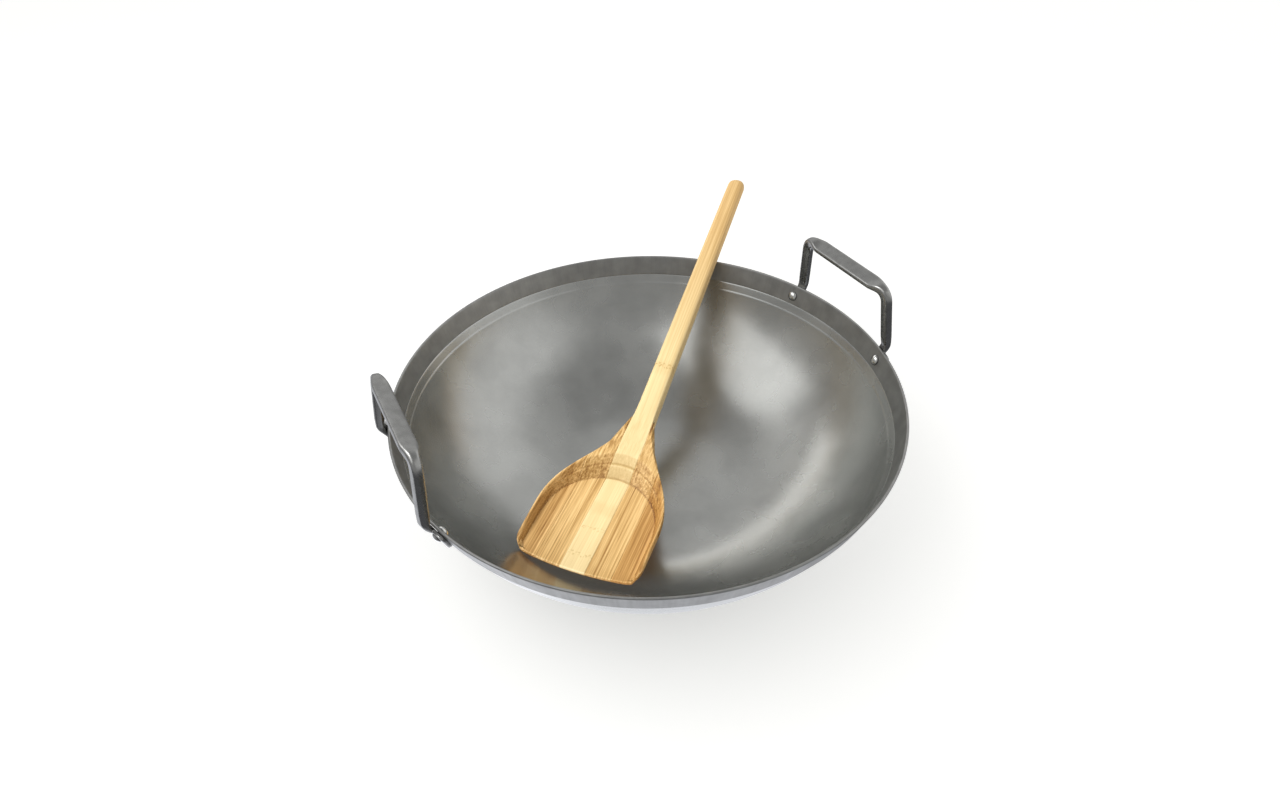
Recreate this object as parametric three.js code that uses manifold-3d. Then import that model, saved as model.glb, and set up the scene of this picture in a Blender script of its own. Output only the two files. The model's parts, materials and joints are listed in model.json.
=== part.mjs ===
// Grill wok: a spun steel bowl with two riveted loop handles, and a laminated bamboo spatula lying in it.
// Millimetres, +Z up, origin at the centre of the flat base, handles on the X axis.

import * as THREE from 'three';
import { mergeVertices } from 'three/addons/utils/BufferGeometryUtils.js';
import Module from 'manifold-3d';

const wasm = await Module();
wasm.setup();

const { degToRad, lerp, smoothstep } = THREE.MathUtils;

// Bowl
const RIM_DIAMETER = 406.4;
const BOWL_HEIGHT = 109;
const BASE_DIAMETER = 130;
const SHEET = 2;
const BAND_HEIGHT = 17.3;
const BAND_SLOPE = degToRad(71.5);
const RING_HEIGHT = 7.7;
const RING_SLOPE = degToRad(59);

// Loop handles
const LOOP_HEIGHT = 53.5;
const LOOP_TOP_WIDTH = 99;
const LOOP_LEAN = 6.5;
const SHOULDER_RADIUS = 12;
const ARM_WIDTH = 9;
const ARM_DEPTH = 7.6;
const ARM_RIVET_OFFSET = 4;
const GRIP_WIDTH = 13;
const GRIP_THICKNESS = 5.2;
const GRIP_FLAT_LENGTH = 64;
const GRIP_TILT = degToRad(23);
const SECTION_BEVEL = 0.45;
const FOOT_THICKNESS = 3;
const FOOT_HEIGHT = 15;
const FOOT_OUTBOARD = 11;
const FOOT_INBOARD = 9;
const FOOT_CORNER = 4;
const FOOT_BELOW_RIM = 2;
const HEEL_ABOVE_RIM = 2;
const HEEL_RADIUS = 9;
const ARM_FULL_ABOVE_RIM = 10;

// Rivets
const RIVET_ANGLE = degToRad(16.7);
const RIVET_BELOW_RIM = 10;
const RIVET_SHANK = 5;
const RIVET_HEAD = 9;
const RIVET_DOME = 3;
const RIVET_TAIL = 7.6;
const RIVET_TAIL_DOME = 2;

// Spatula, in its own frame: x from the front edge to the handle's end, z up from the blade's floor
const STAVE_WIDTH = 20.9;
const STAVES = 5;
const FRONT_RADIUS = 260;
const FRONT_CORNER = 11;
const FRONT_EDGE = 2.4;
const FRONT_TAPER = 36;
const BLADE_THICKNESS = 5;
const HULL_ROUNDING = 8;
const WALL_HEIGHT = 9.2;
const WALL_FALL_RUN = 8;
const SIDE_LENGTH = 46;
const SHOULDER_LENGTH = 106;
const SHOULDER_WIDTH = 62;
const SHOULDER_SLOPE = degToRad(32);
const SHOULDER_EASE = 25;
const NECK_EASE = 16;
const NECK_LENGTH = 165;
const NECK_INSET = 1;
const POCKET_CENTRE = 45;
const POCKET_RADIUS = 47.5;
const POCKET_STEP_HEIGHT = 5.5;
const POCKET_STEP_RUN = 13;
const POCKET_LIP_RUN = 22;
const POCKET_SIDE_RUN = 2.4;
const SPATULA_LENGTH = 432;
const HANDLE_RISE = degToRad(16.9);
const HANDLE_WIDTH = 19;
const HANDLE_END_WIDTH = 17;
const HANDLE_THICKNESS = 14;
const HANDLE_TOP_AT_NECK = 21.3;
const HANDLE_END_ROUNDING = 8;
const HANDLE_END_TURN = degToRad(82);
const HANDLE_SQUARENESS = 7;
const HANDLE_END_SQUARENESS = 2.4;

// Where the spatula lies
const LIE_AZIMUTH = degToRad(39.8);
const LIE_REACH = 132.5;
const LIE_OFFSET = 11;

// Clearances
const SEAT_GAP = 0.3;
const GLUE_LINE = 0.3;
const REST_GAP = 0.5;
const RIM_GAP = 0.5;
const OVERSHOOT = 20;
const WELD = 1e-4;

// Fineness of the curves
const BOWL_SIDES = 72;
const WALL_STEPS = 14;
const RIVET_SIDES = 16;
const DOME_STEPS = 4;
const HEEL_STEPS = 4;
const SHOULDER_STEPS = 8;
const TAPER_STEPS = 4;
const FOOT_STEPS = 4;
const FRONT_STEPS = 6;
const SIDE_STEPS = 8;
const PROFILE_STEPS = 10;
const HULL_STEPS = 6;
const ARCH_STEPS = 20;
const BAR_STEPS = 6;
const BAR_END_STEPS = 3;
const BAR_SIDES = 20;
const SETTLE_ROUNDS = 20;

// Finishes
const FINISHES = {
  bowl: { color: 0x74736f, roughness: 0.38, metalness: 1 },
  handle: { color: 0x9c9b98, roughness: 0.32, metalness: 1 },
  rivet: { color: 0xb9b8b5, roughness: 0.25, metalness: 1 },
  paleBamboo: { color: 0xecd39b, roughness: 0.55, metalness: 0 },
  amberBamboo: { color: 0xd6a864, roughness: 0.55, metalness: 0 },
  darkBamboo: { color: 0xbf8745, roughness: 0.55, metalness: 0 },
};

// Solids: a geometry's closed surface as a manifold, and back

function toSolid(geometry) {
  const bare = geometry.clone();
  bare.deleteAttribute('normal');
  bare.deleteAttribute('uv');
  const merged = mergeVertices(bare, WELD);
  return new wasm.Manifold(new wasm.Mesh({
    numProp: 3,
    vertProperties: merged.attributes.position.array,
    triVerts: Uint32Array.from(merged.index.array),
  }));
}

function toGeometry(solid) {
  const { vertProperties, triVerts } = solid.getMesh();
  const geometry = new THREE.BufferGeometry();
  geometry.setAttribute('position', new THREE.BufferAttribute(vertProperties, 3));
  geometry.setIndex(new THREE.BufferAttribute(triVerts, 1));
  geometry.computeVertexNormals();
  return geometry;
}

// Skin over a row of closed convex sections with equal point counts, capped at both ends
function loft(sections) {
  const count = sections[0].length;
  const last = sections.length - 1;
  const middle = (ring) => ring.reduce((sum, p) => sum.add(p), new THREE.Vector3()).divideScalar(count);
  const points = [...sections.flat(), middle(sections[0]), middle(sections[last])];
  const startCap = points.length - 2;
  const endCap = points.length - 1;
  const index = [];
  for (let i = 0; i < count; i += 1) {
    const next = (i + 1) % count;
    for (let s = 0; s < last; s += 1) {
      const near = s * count;
      const far = near + count;
      index.push(near + i, near + next, far + next, near + i, far + next, far + i);
    }
    index.push(startCap, next, i, endCap, last * count + i, last * count + next);
  }
  const geometry = new THREE.BufferGeometry().setFromPoints(points);
  geometry.setIndex(index);
  return geometry;
}

// Extrusion of an outline drawn in x and z, centred across y
function extrudeAcross(shape, width) {
  return new THREE.ExtrudeGeometry(shape, { depth: width, bevelEnabled: false, curveSegments: PROFILE_STEPS })
    .rotateX(Math.PI / 2)
    .translate(0, width / 2, 0);
}

function sweepRound(profile, sides) {
  return new THREE.LatheGeometry(profile, sides).rotateX(Math.PI / 2);
}

// Bowl wall: radii and heights of the sheet's outer face, derived from the driving sizes

const rimRadius = RIM_DIAMETER / 2;
const baseRadius = BASE_DIAMETER / 2;
const ringTopHeight = BOWL_HEIGHT - BAND_HEIGHT;
const ringTopRadius = rimRadius - BAND_HEIGHT / Math.tan(BAND_SLOPE);
const ringFootHeight = ringTopHeight - RING_HEIGHT;
const ringFootRadius = ringTopRadius - RING_HEIGHT / Math.tan(RING_SLOPE);
const wallRun = ringFootRadius - baseRadius;
const wallRadius = (wallRun ** 2 + ringFootHeight ** 2) / (2 * ringFootHeight);
const wallEndSlope = 2 * Math.atan(ringFootHeight / wallRun);

// Point of the sheet at a slope, moved inwards by a share of its thickness
function sheetPoint(radius, height, slope, inward) {
  return new THREE.Vector2(radius - inward * Math.sin(slope), height + inward * Math.cos(slope));
}

function sheetFace(inward) {
  const face = [new THREE.Vector2(0, inward)];
  for (let step = 0; step <= WALL_STEPS; step += 1) {
    const slope = wallEndSlope * step / WALL_STEPS;
    const radius = baseRadius + wallRadius * Math.sin(slope);
    const height = wallRadius * (1 - Math.cos(slope));
    face.push(sheetPoint(radius, height, slope, inward));
  }
  face.push(sheetPoint(ringTopRadius, ringTopHeight, (RING_SLOPE + BAND_SLOPE) / 2, inward));
  face.push(sheetPoint(rimRadius, BOWL_HEIGHT, BAND_SLOPE, inward));
  return face;
}

// Height of the sheet's inner face over a radius
function innerHeight(radius) {
  const run = Math.max(radius - baseRadius, 0);
  const squared = (wallRadius - SHEET) ** 2 - Math.min(run, wallRun) ** 2;
  return wallRadius - Math.sqrt(Math.max(squared, 0));
}

// Radius of the rim band's outer face at a depth below the rim
function bandRadius(belowRim) {
  return rimRadius - belowRim / Math.tan(BAND_SLOPE);
}

// Point at an azimuth and a radius, raised above the rim
function rimPoint(azimuth, radius, rise) {
  return new THREE.Vector3(radius * Math.cos(azimuth), radius * Math.sin(azimuth), BOWL_HEIGHT + rise);
}

// Rivet seats: on the band, with the axis square to the sheet and pointing out of the bowl

const rivetSeats = [];
for (const side of [0, Math.PI]) {
  for (const hand of [-1, 1]) {
    const azimuth = side + hand * RIVET_ANGLE;
    const seat = new THREE.Object3D();
    seat.position.copy(rimPoint(azimuth, bandRadius(RIVET_BELOW_RIM), -RIVET_BELOW_RIM));
    seat.rotation.set(0, Math.PI - BAND_SLOPE, azimuth, 'ZYX');
    seat.updateMatrix();
    rivetSeats.push(seat);
  }
}

function rivetHole(seat) {
  const radius = RIVET_SHANK / 2 + SEAT_GAP;
  const hole = new THREE.CylinderGeometry(radius, radius, OVERSHOOT, RIVET_SIDES).rotateX(Math.PI / 2);
  return toSolid(hole.applyMatrix4(seat.matrix));
}

function rivetGeometry() {
  const shank = RIVET_SHANK / 2;
  const head = RIVET_HEAD / 2;
  const tail = RIVET_TAIL / 2;
  const headSeat = -SHEET - SEAT_GAP;
  const tailSeat = SEAT_GAP + FOOT_THICKNESS + SEAT_GAP;
  const quarter = (radius, height) => new THREE.EllipseCurve(0, 0, radius, height, 0, Math.PI / 2);
  const headDome = quarter(head, RIVET_DOME).getPoints(DOME_STEPS).reverse();
  const tailDome = quarter(tail, RIVET_TAIL_DOME).getPoints(DOME_STEPS);
  const profile = [
    ...headDome.map((p) => new THREE.Vector2(p.x, headSeat - p.y)),
    new THREE.Vector2(shank, headSeat),
    new THREE.Vector2(shank, tailSeat),
    ...tailDome.map((p) => new THREE.Vector2(p.x, tailSeat + p.y)),
  ];
  profile[0].x = 0;
  profile[profile.length - 1].x = 0;
  return sweepRound(profile, RIVET_SIDES);
}

function bowlGeometry() {
  const profile = [...sheetFace(0), ...sheetFace(SHEET).reverse()];
  let solid = toSolid(sweepRound(profile, BOWL_SIDES));
  for (const seat of rivetSeats) {
    solid = solid.subtract(rivetHole(seat));
  }
  return toGeometry(solid);
}

// Handle: half of the loop's centre line runs from the foot up the arm and along the grip

const armRadius = rimRadius + RIM_GAP + ARM_DEPTH / 2;
const armAngle = RIVET_ANGLE - ARM_RIVET_OFFSET / armRadius;
const footRadius = bandRadius(RIVET_BELOW_RIM - RIVET_TAIL / 2) + SEAT_GAP + FOOT_THICKNESS / 2;

function roundedCorner(before, corner, after, radius, steps) {
  const into = before.clone().sub(corner).normalize();
  const out = after.clone().sub(corner).normalize();
  const cut = radius / Math.tan(into.angleTo(out) / 2);
  const start = corner.clone().addScaledVector(into, cut);
  const end = corner.clone().addScaledVector(out, cut);
  return new THREE.QuadraticBezierCurve3(start, corner, end).getPoints(steps);
}

function halfLoop() {
  const foot = rimPoint(armAngle, footRadius, -RIVET_BELOW_RIM + RIVET_TAIL / 2);
  const heel = rimPoint(armAngle, armRadius, HEEL_ABOVE_RIM);
  const shoulder = new THREE.Vector3(heel.x - LOOP_LEAN, LOOP_TOP_WIDTH / 2, BOWL_HEIGHT + LOOP_HEIGHT);
  const top = new THREE.Vector3(shoulder.x, 0, shoulder.z);
  const taperStart = LOOP_TOP_WIDTH / 2 - SHOULDER_RADIUS;
  const taper = [];
  for (let step = 1; step <= TAPER_STEPS; step += 1) {
    const y = lerp(taperStart, GRIP_FLAT_LENGTH / 2, step / TAPER_STEPS);
    taper.push(new THREE.Vector3(top.x, y, top.z));
  }
  return [
    foot,
    ...roundedCorner(foot, heel, shoulder, HEEL_RADIUS, HEEL_STEPS),
    heel.clone().lerp(shoulder, ARM_FULL_ABOVE_RIM / LOOP_HEIGHT),
    ...roundedCorner(heel, shoulder, top, SHOULDER_RADIUS, SHOULDER_STEPS),
    ...taper,
  ];
}

// Bevelled bar section, wide across the loop on the grip and squarer on the arms, flattened at the foot
function barSection(point, along) {
  const outward = new THREE.Vector3(point.x, point.y, 0).normalize();
  const deep = outward.addScaledVector(along, -outward.dot(along)).normalize();
  const wide = new THREE.Vector3().crossVectors(along, deep);
  const reach = Math.abs(point.y);
  const onGrip = 1 - smoothstep(reach, GRIP_FLAT_LENGTH / 2, LOOP_TOP_WIDTH / 2);
  const onFoot = 1 - smoothstep(point.z - BOWL_HEIGHT, -RIVET_BELOW_RIM + RIVET_TAIL / 2, ARM_FULL_ABOVE_RIM);
  const armHalfDepth = lerp(ARM_DEPTH, FOOT_THICKNESS, onFoot) / 2;
  const halfDepth = lerp(armHalfDepth, GRIP_WIDTH / 2, onGrip);
  const halfWidth = lerp(ARM_WIDTH, GRIP_THICKNESS, onGrip) / 2;
  const bevel = Math.min(halfDepth, halfWidth) * SECTION_BEVEL;
  const turn = GRIP_TILT * onGrip;
  const corners = [
    [halfDepth, halfWidth - bevel],
    [halfDepth - bevel, halfWidth],
    [-halfDepth + bevel, halfWidth],
    [-halfDepth, halfWidth - bevel],
    [-halfDepth, -halfWidth + bevel],
    [-halfDepth + bevel, -halfWidth],
    [halfDepth - bevel, -halfWidth],
    [halfDepth, -halfWidth + bevel],
  ];
  return corners.map(([d, w]) => point.clone()
    .addScaledVector(deep, d * Math.cos(turn) - w * Math.sin(turn))
    .addScaledVector(wide, d * Math.sin(turn) + w * Math.cos(turn)));
}

// Foot: a rounded tab that follows the band's curve, from inboard of the arm to outboard of the rivet
function footSolid(hand) {
  const level = (depth, out) => new THREE.Vector2(bandRadius(depth) + out, BOWL_HEIGHT - depth);
  const near = SEAT_GAP;
  const far = SEAT_GAP + FOOT_THICKNESS;
  const low = FOOT_BELOW_RIM + FOOT_HEIGHT;
  const shell = sweepRound([
    level(low, near),
    level(low, far),
    level(FOOT_BELOW_RIM, far),
    level(FOOT_BELOW_RIM, near),
    level(low, near),
  ], BOWL_SIDES);
  const inner = hand * (ARM_WIDTH / 2 - ARM_RIVET_OFFSET - FOOT_INBOARD);
  const outer = hand * FOOT_OUTBOARD;
  const corner = hand * FOOT_CORNER;
  const outline = new THREE.Shape();
  outline.moveTo(inner + corner, -FOOT_HEIGHT);
  outline.lineTo(outer - corner, -FOOT_HEIGHT);
  outline.quadraticCurveTo(outer, -FOOT_HEIGHT, outer, -FOOT_HEIGHT + FOOT_CORNER);
  outline.lineTo(outer, -FOOT_CORNER);
  outline.quadraticCurveTo(outer, 0, outer - corner, 0);
  outline.lineTo(inner, 0);
  outline.lineTo(inner, -FOOT_HEIGHT + FOOT_CORNER);
  outline.quadraticCurveTo(inner, -FOOT_HEIGHT, inner + corner, -FOOT_HEIGHT);
  const depth = rimRadius;
  const place = new THREE.Matrix4().makeBasis(
    new THREE.Vector3(0, 1, 0),
    new THREE.Vector3(0, 0, 1),
    new THREE.Vector3(1, 0, 0),
  ).setPosition(rimRadius, 0, BOWL_HEIGHT - FOOT_BELOW_RIM);
  const block = new THREE.ExtrudeGeometry(outline, { depth, bevelEnabled: false, curveSegments: FOOT_STEPS })
    .translate(0, 0, -depth / 2)
    .applyMatrix4(place)
    .rotateZ(hand * RIVET_ANGLE);
  return toSolid(shell).intersect(toSolid(block));
}

function handleGeometry() {
  const half = halfLoop();
  const mirrored = half.map((p) => new THREE.Vector3(p.x, -p.y, p.z)).reverse();
  const line = [...half, ...mirrored];
  const sections = line.map((point, i) => {
    const before = line[Math.max(i - 1, 0)];
    const after = line[Math.min(i + 1, line.length - 1)];
    return barSection(point, after.clone().sub(before).normalize());
  });
  let solid = toSolid(loft(sections));
  for (const hand of [-1, 1]) {
    solid = solid.add(footSolid(hand));
  }
  for (const seat of rivetSeats.slice(0, 2)) {
    solid = solid.subtract(rivetHole(seat));
  }
  return toGeometry(solid);
}

// Spatula blade: side profile, plan outline and hull section meet, and the scoop is cut out of them

const bladeWidth = STAVE_WIDTH * STAVES;
const handleSlope = Math.tan(HANDLE_RISE);
const handleDrop = HANDLE_THICKNESS / Math.cos(HANDLE_RISE);

function handleTop(x) {
  return HANDLE_TOP_AT_NECK + (x - NECK_LENGTH) * handleSlope;
}

function handleUnder(x) {
  return handleTop(x) - handleDrop;
}

function sideProfile() {
  const lip = POCKET_CENTRE + POCKET_RADIUS + POCKET_LIP_RUN;
  const heel = NECK_LENGTH - (handleUnder(NECK_LENGTH) + BLADE_THICKNESS) / handleSlope;
  const shape = new THREE.Shape();
  shape.moveTo(0, -FRONT_EDGE);
  shape.quadraticCurveTo(FRONT_TAPER / 2, -BLADE_THICKNESS, FRONT_TAPER, -BLADE_THICKNESS);
  shape.lineTo(2 * heel - NECK_LENGTH, -BLADE_THICKNESS);
  shape.quadraticCurveTo(heel, -BLADE_THICKNESS, NECK_LENGTH, handleUnder(NECK_LENGTH) + NECK_INSET);
  shape.lineTo(NECK_LENGTH, handleTop(NECK_LENGTH) - NECK_INSET);
  shape.quadraticCurveTo(lip + POCKET_LIP_RUN, handleTop(lip + POCKET_LIP_RUN), lip, WALL_HEIGHT);
  shape.bezierCurveTo(SIDE_LENGTH, WALL_HEIGHT, WALL_FALL_RUN, WALL_HEIGHT, 0, 0);
  shape.closePath();
  return shape;
}

function planOutline() {
  const half = bladeWidth / 2;
  const frontAngle = Math.asin((half - FRONT_CORNER) / FRONT_RADIUS);
  const front = new THREE.EllipseCurve(
    FRONT_RADIUS,
    0,
    FRONT_RADIUS,
    FRONT_RADIUS,
    Math.PI,
    Math.PI - frontAngle,
    true,
  );
  const cornerStart = front.getPoint(1);
  const cornerFront = cornerStart.x + FRONT_CORNER * Math.tan(frontAngle);
  const sideEnd = new THREE.Vector2(SIDE_LENGTH, half);
  const shoulder = new THREE.Vector2(SHOULDER_LENGTH, SHOULDER_WIDTH / 2);
  const shoulderRun = new THREE.Vector2(Math.cos(SHOULDER_SLOPE), -Math.sin(SHOULDER_SLOPE));
  const intoShoulder = shoulder.clone().addScaledVector(shoulderRun, -SHOULDER_EASE);
  const intoNeck = shoulder.clone().addScaledVector(shoulderRun, NECK_EASE);
  const neckEnd = new THREE.Vector2(NECK_LENGTH, HANDLE_WIDTH / 2 - NECK_INSET);
  const side = new THREE.Path();
  side.moveTo(cornerStart.x, cornerStart.y);
  side.quadraticCurveTo(cornerFront, half, cornerFront + FRONT_CORNER, half);
  side.lineTo(sideEnd.x, sideEnd.y);
  side.bezierCurveTo(sideEnd.x + SHOULDER_EASE, half, intoShoulder.x, intoShoulder.y, shoulder.x, shoulder.y);
  side.bezierCurveTo(intoNeck.x, intoNeck.y, intoNeck.x + NECK_EASE, neckEnd.y, neckEnd.x, neckEnd.y);
  const left = [...front.getPoints(FRONT_STEPS), ...side.getPoints(SIDE_STEPS).slice(1)];
  const right = left.slice(1).reverse().map((p) => new THREE.Vector2(p.x, -p.y));
  return new THREE.Shape([...left, ...right]);
}

// Hull: a flat underside with rounded edges, open above
function hullSection(top) {
  const half = bladeWidth / 2 + OVERSHOOT;
  const flat = bladeWidth / 2 - HULL_ROUNDING;
  const rim = bladeWidth / 2;
  const bilge = HULL_ROUNDING - BLADE_THICKNESS;
  const shape = new THREE.Shape();
  shape.moveTo(-flat, -BLADE_THICKNESS);
  shape.lineTo(flat, -BLADE_THICKNESS);
  shape.quadraticCurveTo(rim, -BLADE_THICKNESS, rim, bilge);
  shape.lineTo(half, top);
  shape.lineTo(-half, top);
  shape.lineTo(-rim, bilge);
  shape.quadraticCurveTo(-rim, -BLADE_THICKNESS, -flat, -BLADE_THICKNESS);
  return shape;
}

// Scoop: a flat floor with a round back, a steeper step and a gentler lip behind it, open at the front
function scoopSolid(top) {
  const levels = [
    [0, 0, 0],
    [POCKET_STEP_HEIGHT, POCKET_STEP_RUN, POCKET_SIDE_RUN * POCKET_STEP_HEIGHT / WALL_HEIGHT],
    [WALL_HEIGHT, POCKET_LIP_RUN, POCKET_SIDE_RUN],
    [top, POCKET_LIP_RUN, POCKET_SIDE_RUN],
  ];
  const sections = levels.map(([height, backRun, sideRun]) => {
    const across = POCKET_RADIUS + sideRun;
    const back = POCKET_RADIUS + backRun;
    const arch = new THREE.EllipseCurve(POCKET_CENTRE, 0, back, across, -Math.PI / 2, Math.PI / 2);
    const outline = [
      new THREE.Vector2(-OVERSHOOT, -across),
      ...arch.getPoints(ARCH_STEPS),
      new THREE.Vector2(-OVERSHOOT, across),
    ];
    return outline.map((p) => new THREE.Vector3(p.x, p.y, height));
  });
  return toSolid(loft(sections));
}

// Spatula handle: a rounded bar, squarer at the neck and oval towards its domed end
function handleBar() {
  const start = NECK_LENGTH - HANDLE_WIDTH;
  const end = SPATULA_LENGTH - HANDLE_END_ROUNDING;
  const rings = [];
  for (let step = 0; step < BAR_STEPS; step += 1) {
    rings.push({ x: lerp(start, end, step / BAR_STEPS), shrink: 1 });
  }
  for (let step = 0; step <= BAR_END_STEPS; step += 1) {
    const turn = HANDLE_END_TURN * step / BAR_END_STEPS;
    rings.push({ x: end + HANDLE_END_ROUNDING * Math.sin(turn), shrink: Math.cos(turn) });
  }
  const up = new THREE.Vector3(-Math.sin(HANDLE_RISE), 0, Math.cos(HANDLE_RISE));
  const sections = rings.map(({ x, shrink }) => {
    const share = (x - start) / (SPATULA_LENGTH - start);
    const power = 2 / lerp(HANDLE_SQUARENESS, HANDLE_END_SQUARENESS, Math.sqrt(share));
    const halfWidth = lerp(HANDLE_WIDTH, HANDLE_END_WIDTH, share) / 2 * shrink;
    const halfHeight = HANDLE_THICKNESS / 2 * shrink;
    const centre = new THREE.Vector3(x, 0, handleTop(x) - handleDrop / 2);
    const ring = [];
    for (let i = 0; i < BAR_SIDES; i += 1) {
      const angle = 2 * Math.PI * i / BAR_SIDES;
      const across = Math.sign(Math.cos(angle)) * Math.abs(Math.cos(angle)) ** power;
      const rise = Math.sign(Math.sin(angle)) * Math.abs(Math.sin(angle)) ** power;
      const point = centre.clone().addScaledVector(up, rise * halfHeight);
      point.y += across * halfWidth;
      ring.push(point);
    }
    return ring;
  });
  return toSolid(loft(sections));
}

function bladeSolid() {
  const top = handleTop(NECK_LENGTH) + OVERSHOOT;
  const tall = { depth: top + OVERSHOOT, bevelEnabled: false };
  const long = { depth: NECK_LENGTH + OVERSHOOT, bevelEnabled: false, curveSegments: HULL_STEPS };
  const plan = new THREE.ExtrudeGeometry(planOutline(), tall).translate(0, 0, -OVERSHOOT);
  const hull = new THREE.ExtrudeGeometry(hullSection(top), long)
    .rotateX(Math.PI / 2)
    .rotateZ(Math.PI / 2)
    .translate(-OVERSHOOT / 2, 0, 0);
  return toSolid(extrudeAcross(sideProfile(), bladeWidth + OVERSHOOT))
    .intersect(toSolid(plan))
    .intersect(toSolid(hull))
    .subtract(scoopSolid(top));
}

// Slab of the blade between two glue lines, counted in staves from the middle
function staveSlab(from, to) {
  const low = from * STAVE_WIDTH + GLUE_LINE / 2;
  const high = to * STAVE_WIDTH - GLUE_LINE / 2;
  const length = SPATULA_LENGTH + 2 * OVERSHOOT;
  const slab = new THREE.BoxGeometry(length, high - low, length);
  return toSolid(slab.translate(length / 2 - OVERSHOOT, (low + high) / 2, 0));
}

function spatulaGeometries() {
  const blade = bladeSolid();
  const outer = STAVES / 2 + 1;
  return {
    spatula_centre_stave: toGeometry(blade.intersect(staveSlab(-0.5, 0.5)).add(handleBar())),
    spatula_left_strip: toGeometry(blade.intersect(staveSlab(0.5, 1.5))),
    spatula_right_strip: toGeometry(blade.intersect(staveSlab(-1.5, -0.5))),
    spatula_left_edge: toGeometry(blade.intersect(staveSlab(1.5, outer))),
    spatula_right_edge: toGeometry(blade.intersect(staveSlab(-outer, -1.5))),
  };
}

// The spatula settles on two supports: the blade's higher corner in the bowl, and the handle over the rim
function settle(group, geometries) {
  const along = new THREE.Vector2(Math.cos(LIE_AZIMUTH), Math.sin(LIE_AZIMUTH));
  const aside = new THREE.Vector2(-along.y, along.x);
  const tip = aside.multiplyScalar(LIE_OFFSET).addScaledVector(along, -LIE_REACH);
  const rimEdge = sheetPoint(rimRadius, BOWL_HEIGHT, BAND_SLOPE, SHEET);
  const lie = { pitch: 0, height: BOWL_HEIGHT, crossing: LIE_REACH + rimRadius };
  const point = new THREE.Vector3();
  for (let round = 0; round < SETTLE_ROUNDS; round += 1) {
    group.position.set(tip.x, tip.y, lie.height);
    group.rotation.set(0, -lie.pitch, LIE_AZIMUTH, 'ZYX');
    group.updateMatrix();
    let bladeLift = -Infinity;
    for (const geometry of geometries) {
      const corners = geometry.attributes.position;
      for (let i = 0; i < corners.count; i += 1) {
        point.fromBufferAttribute(corners, i);
        if (point.x < SHOULDER_LENGTH) {
          point.applyMatrix4(group.matrix);
          const floor = innerHeight(Math.hypot(point.x, point.y));
          bladeLift = Math.max(bladeLift, floor + REST_GAP - point.z);
        }
      }
    }
    point.set(lie.crossing, 0, handleUnder(lie.crossing)).applyMatrix4(group.matrix);
    const rimLift = rimEdge.y + REST_GAP - point.z;
    lie.crossing += rimEdge.x - Math.hypot(point.x, point.y);
    lie.height += bladeLift;
    lie.pitch += (rimLift - bladeLift) / lie.crossing;
  }
}

// Assembly

const wok = new THREE.Group();

function addPart(parent, name, geometry, finish) {
  const mesh = new THREE.Mesh(geometry, new THREE.MeshStandardMaterial(FINISHES[finish]));
  mesh.name = name;
  parent.add(mesh);
  return mesh;
}

addPart(wok, 'bowl', bowlGeometry(), 'bowl');

const loop = handleGeometry();
addPart(wok, 'handle_right', loop, 'handle');
addPart(wok, 'handle_left', loop, 'handle').rotation.z = Math.PI;

const rivet = rivetGeometry();
const rivetNames = ['rivet_right_front', 'rivet_right_back', 'rivet_left_back', 'rivet_left_front'];
rivetNames.forEach((name, i) => {
  const mesh = addPart(wok, name, rivet, 'rivet');
  mesh.position.copy(rivetSeats[i].position);
  mesh.rotation.copy(rivetSeats[i].rotation);
});

const spatula = new THREE.Group();
const staves = spatulaGeometries();
const staveFinishes = {
  spatula_centre_stave: 'paleBamboo',
  spatula_left_strip: 'amberBamboo',
  spatula_right_strip: 'amberBamboo',
  spatula_left_edge: 'darkBamboo',
  spatula_right_edge: 'darkBamboo',
};
for (const [name, geometry] of Object.entries(staves)) {
  addPart(spatula, name, geometry, staveFinishes[name]);
}
settle(spatula, Object.values(staves));
wok.add(spatula);

export default wok;
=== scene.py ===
"""Grill wok with a bamboo spatula lying in it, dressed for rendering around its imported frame."""

import json
import math

import bmesh
import bpy
import numpy as np
from bpy.props import FloatProperty, FloatVectorProperty, IntProperty, PointerProperty
from mathutils import Matrix, Vector

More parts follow.
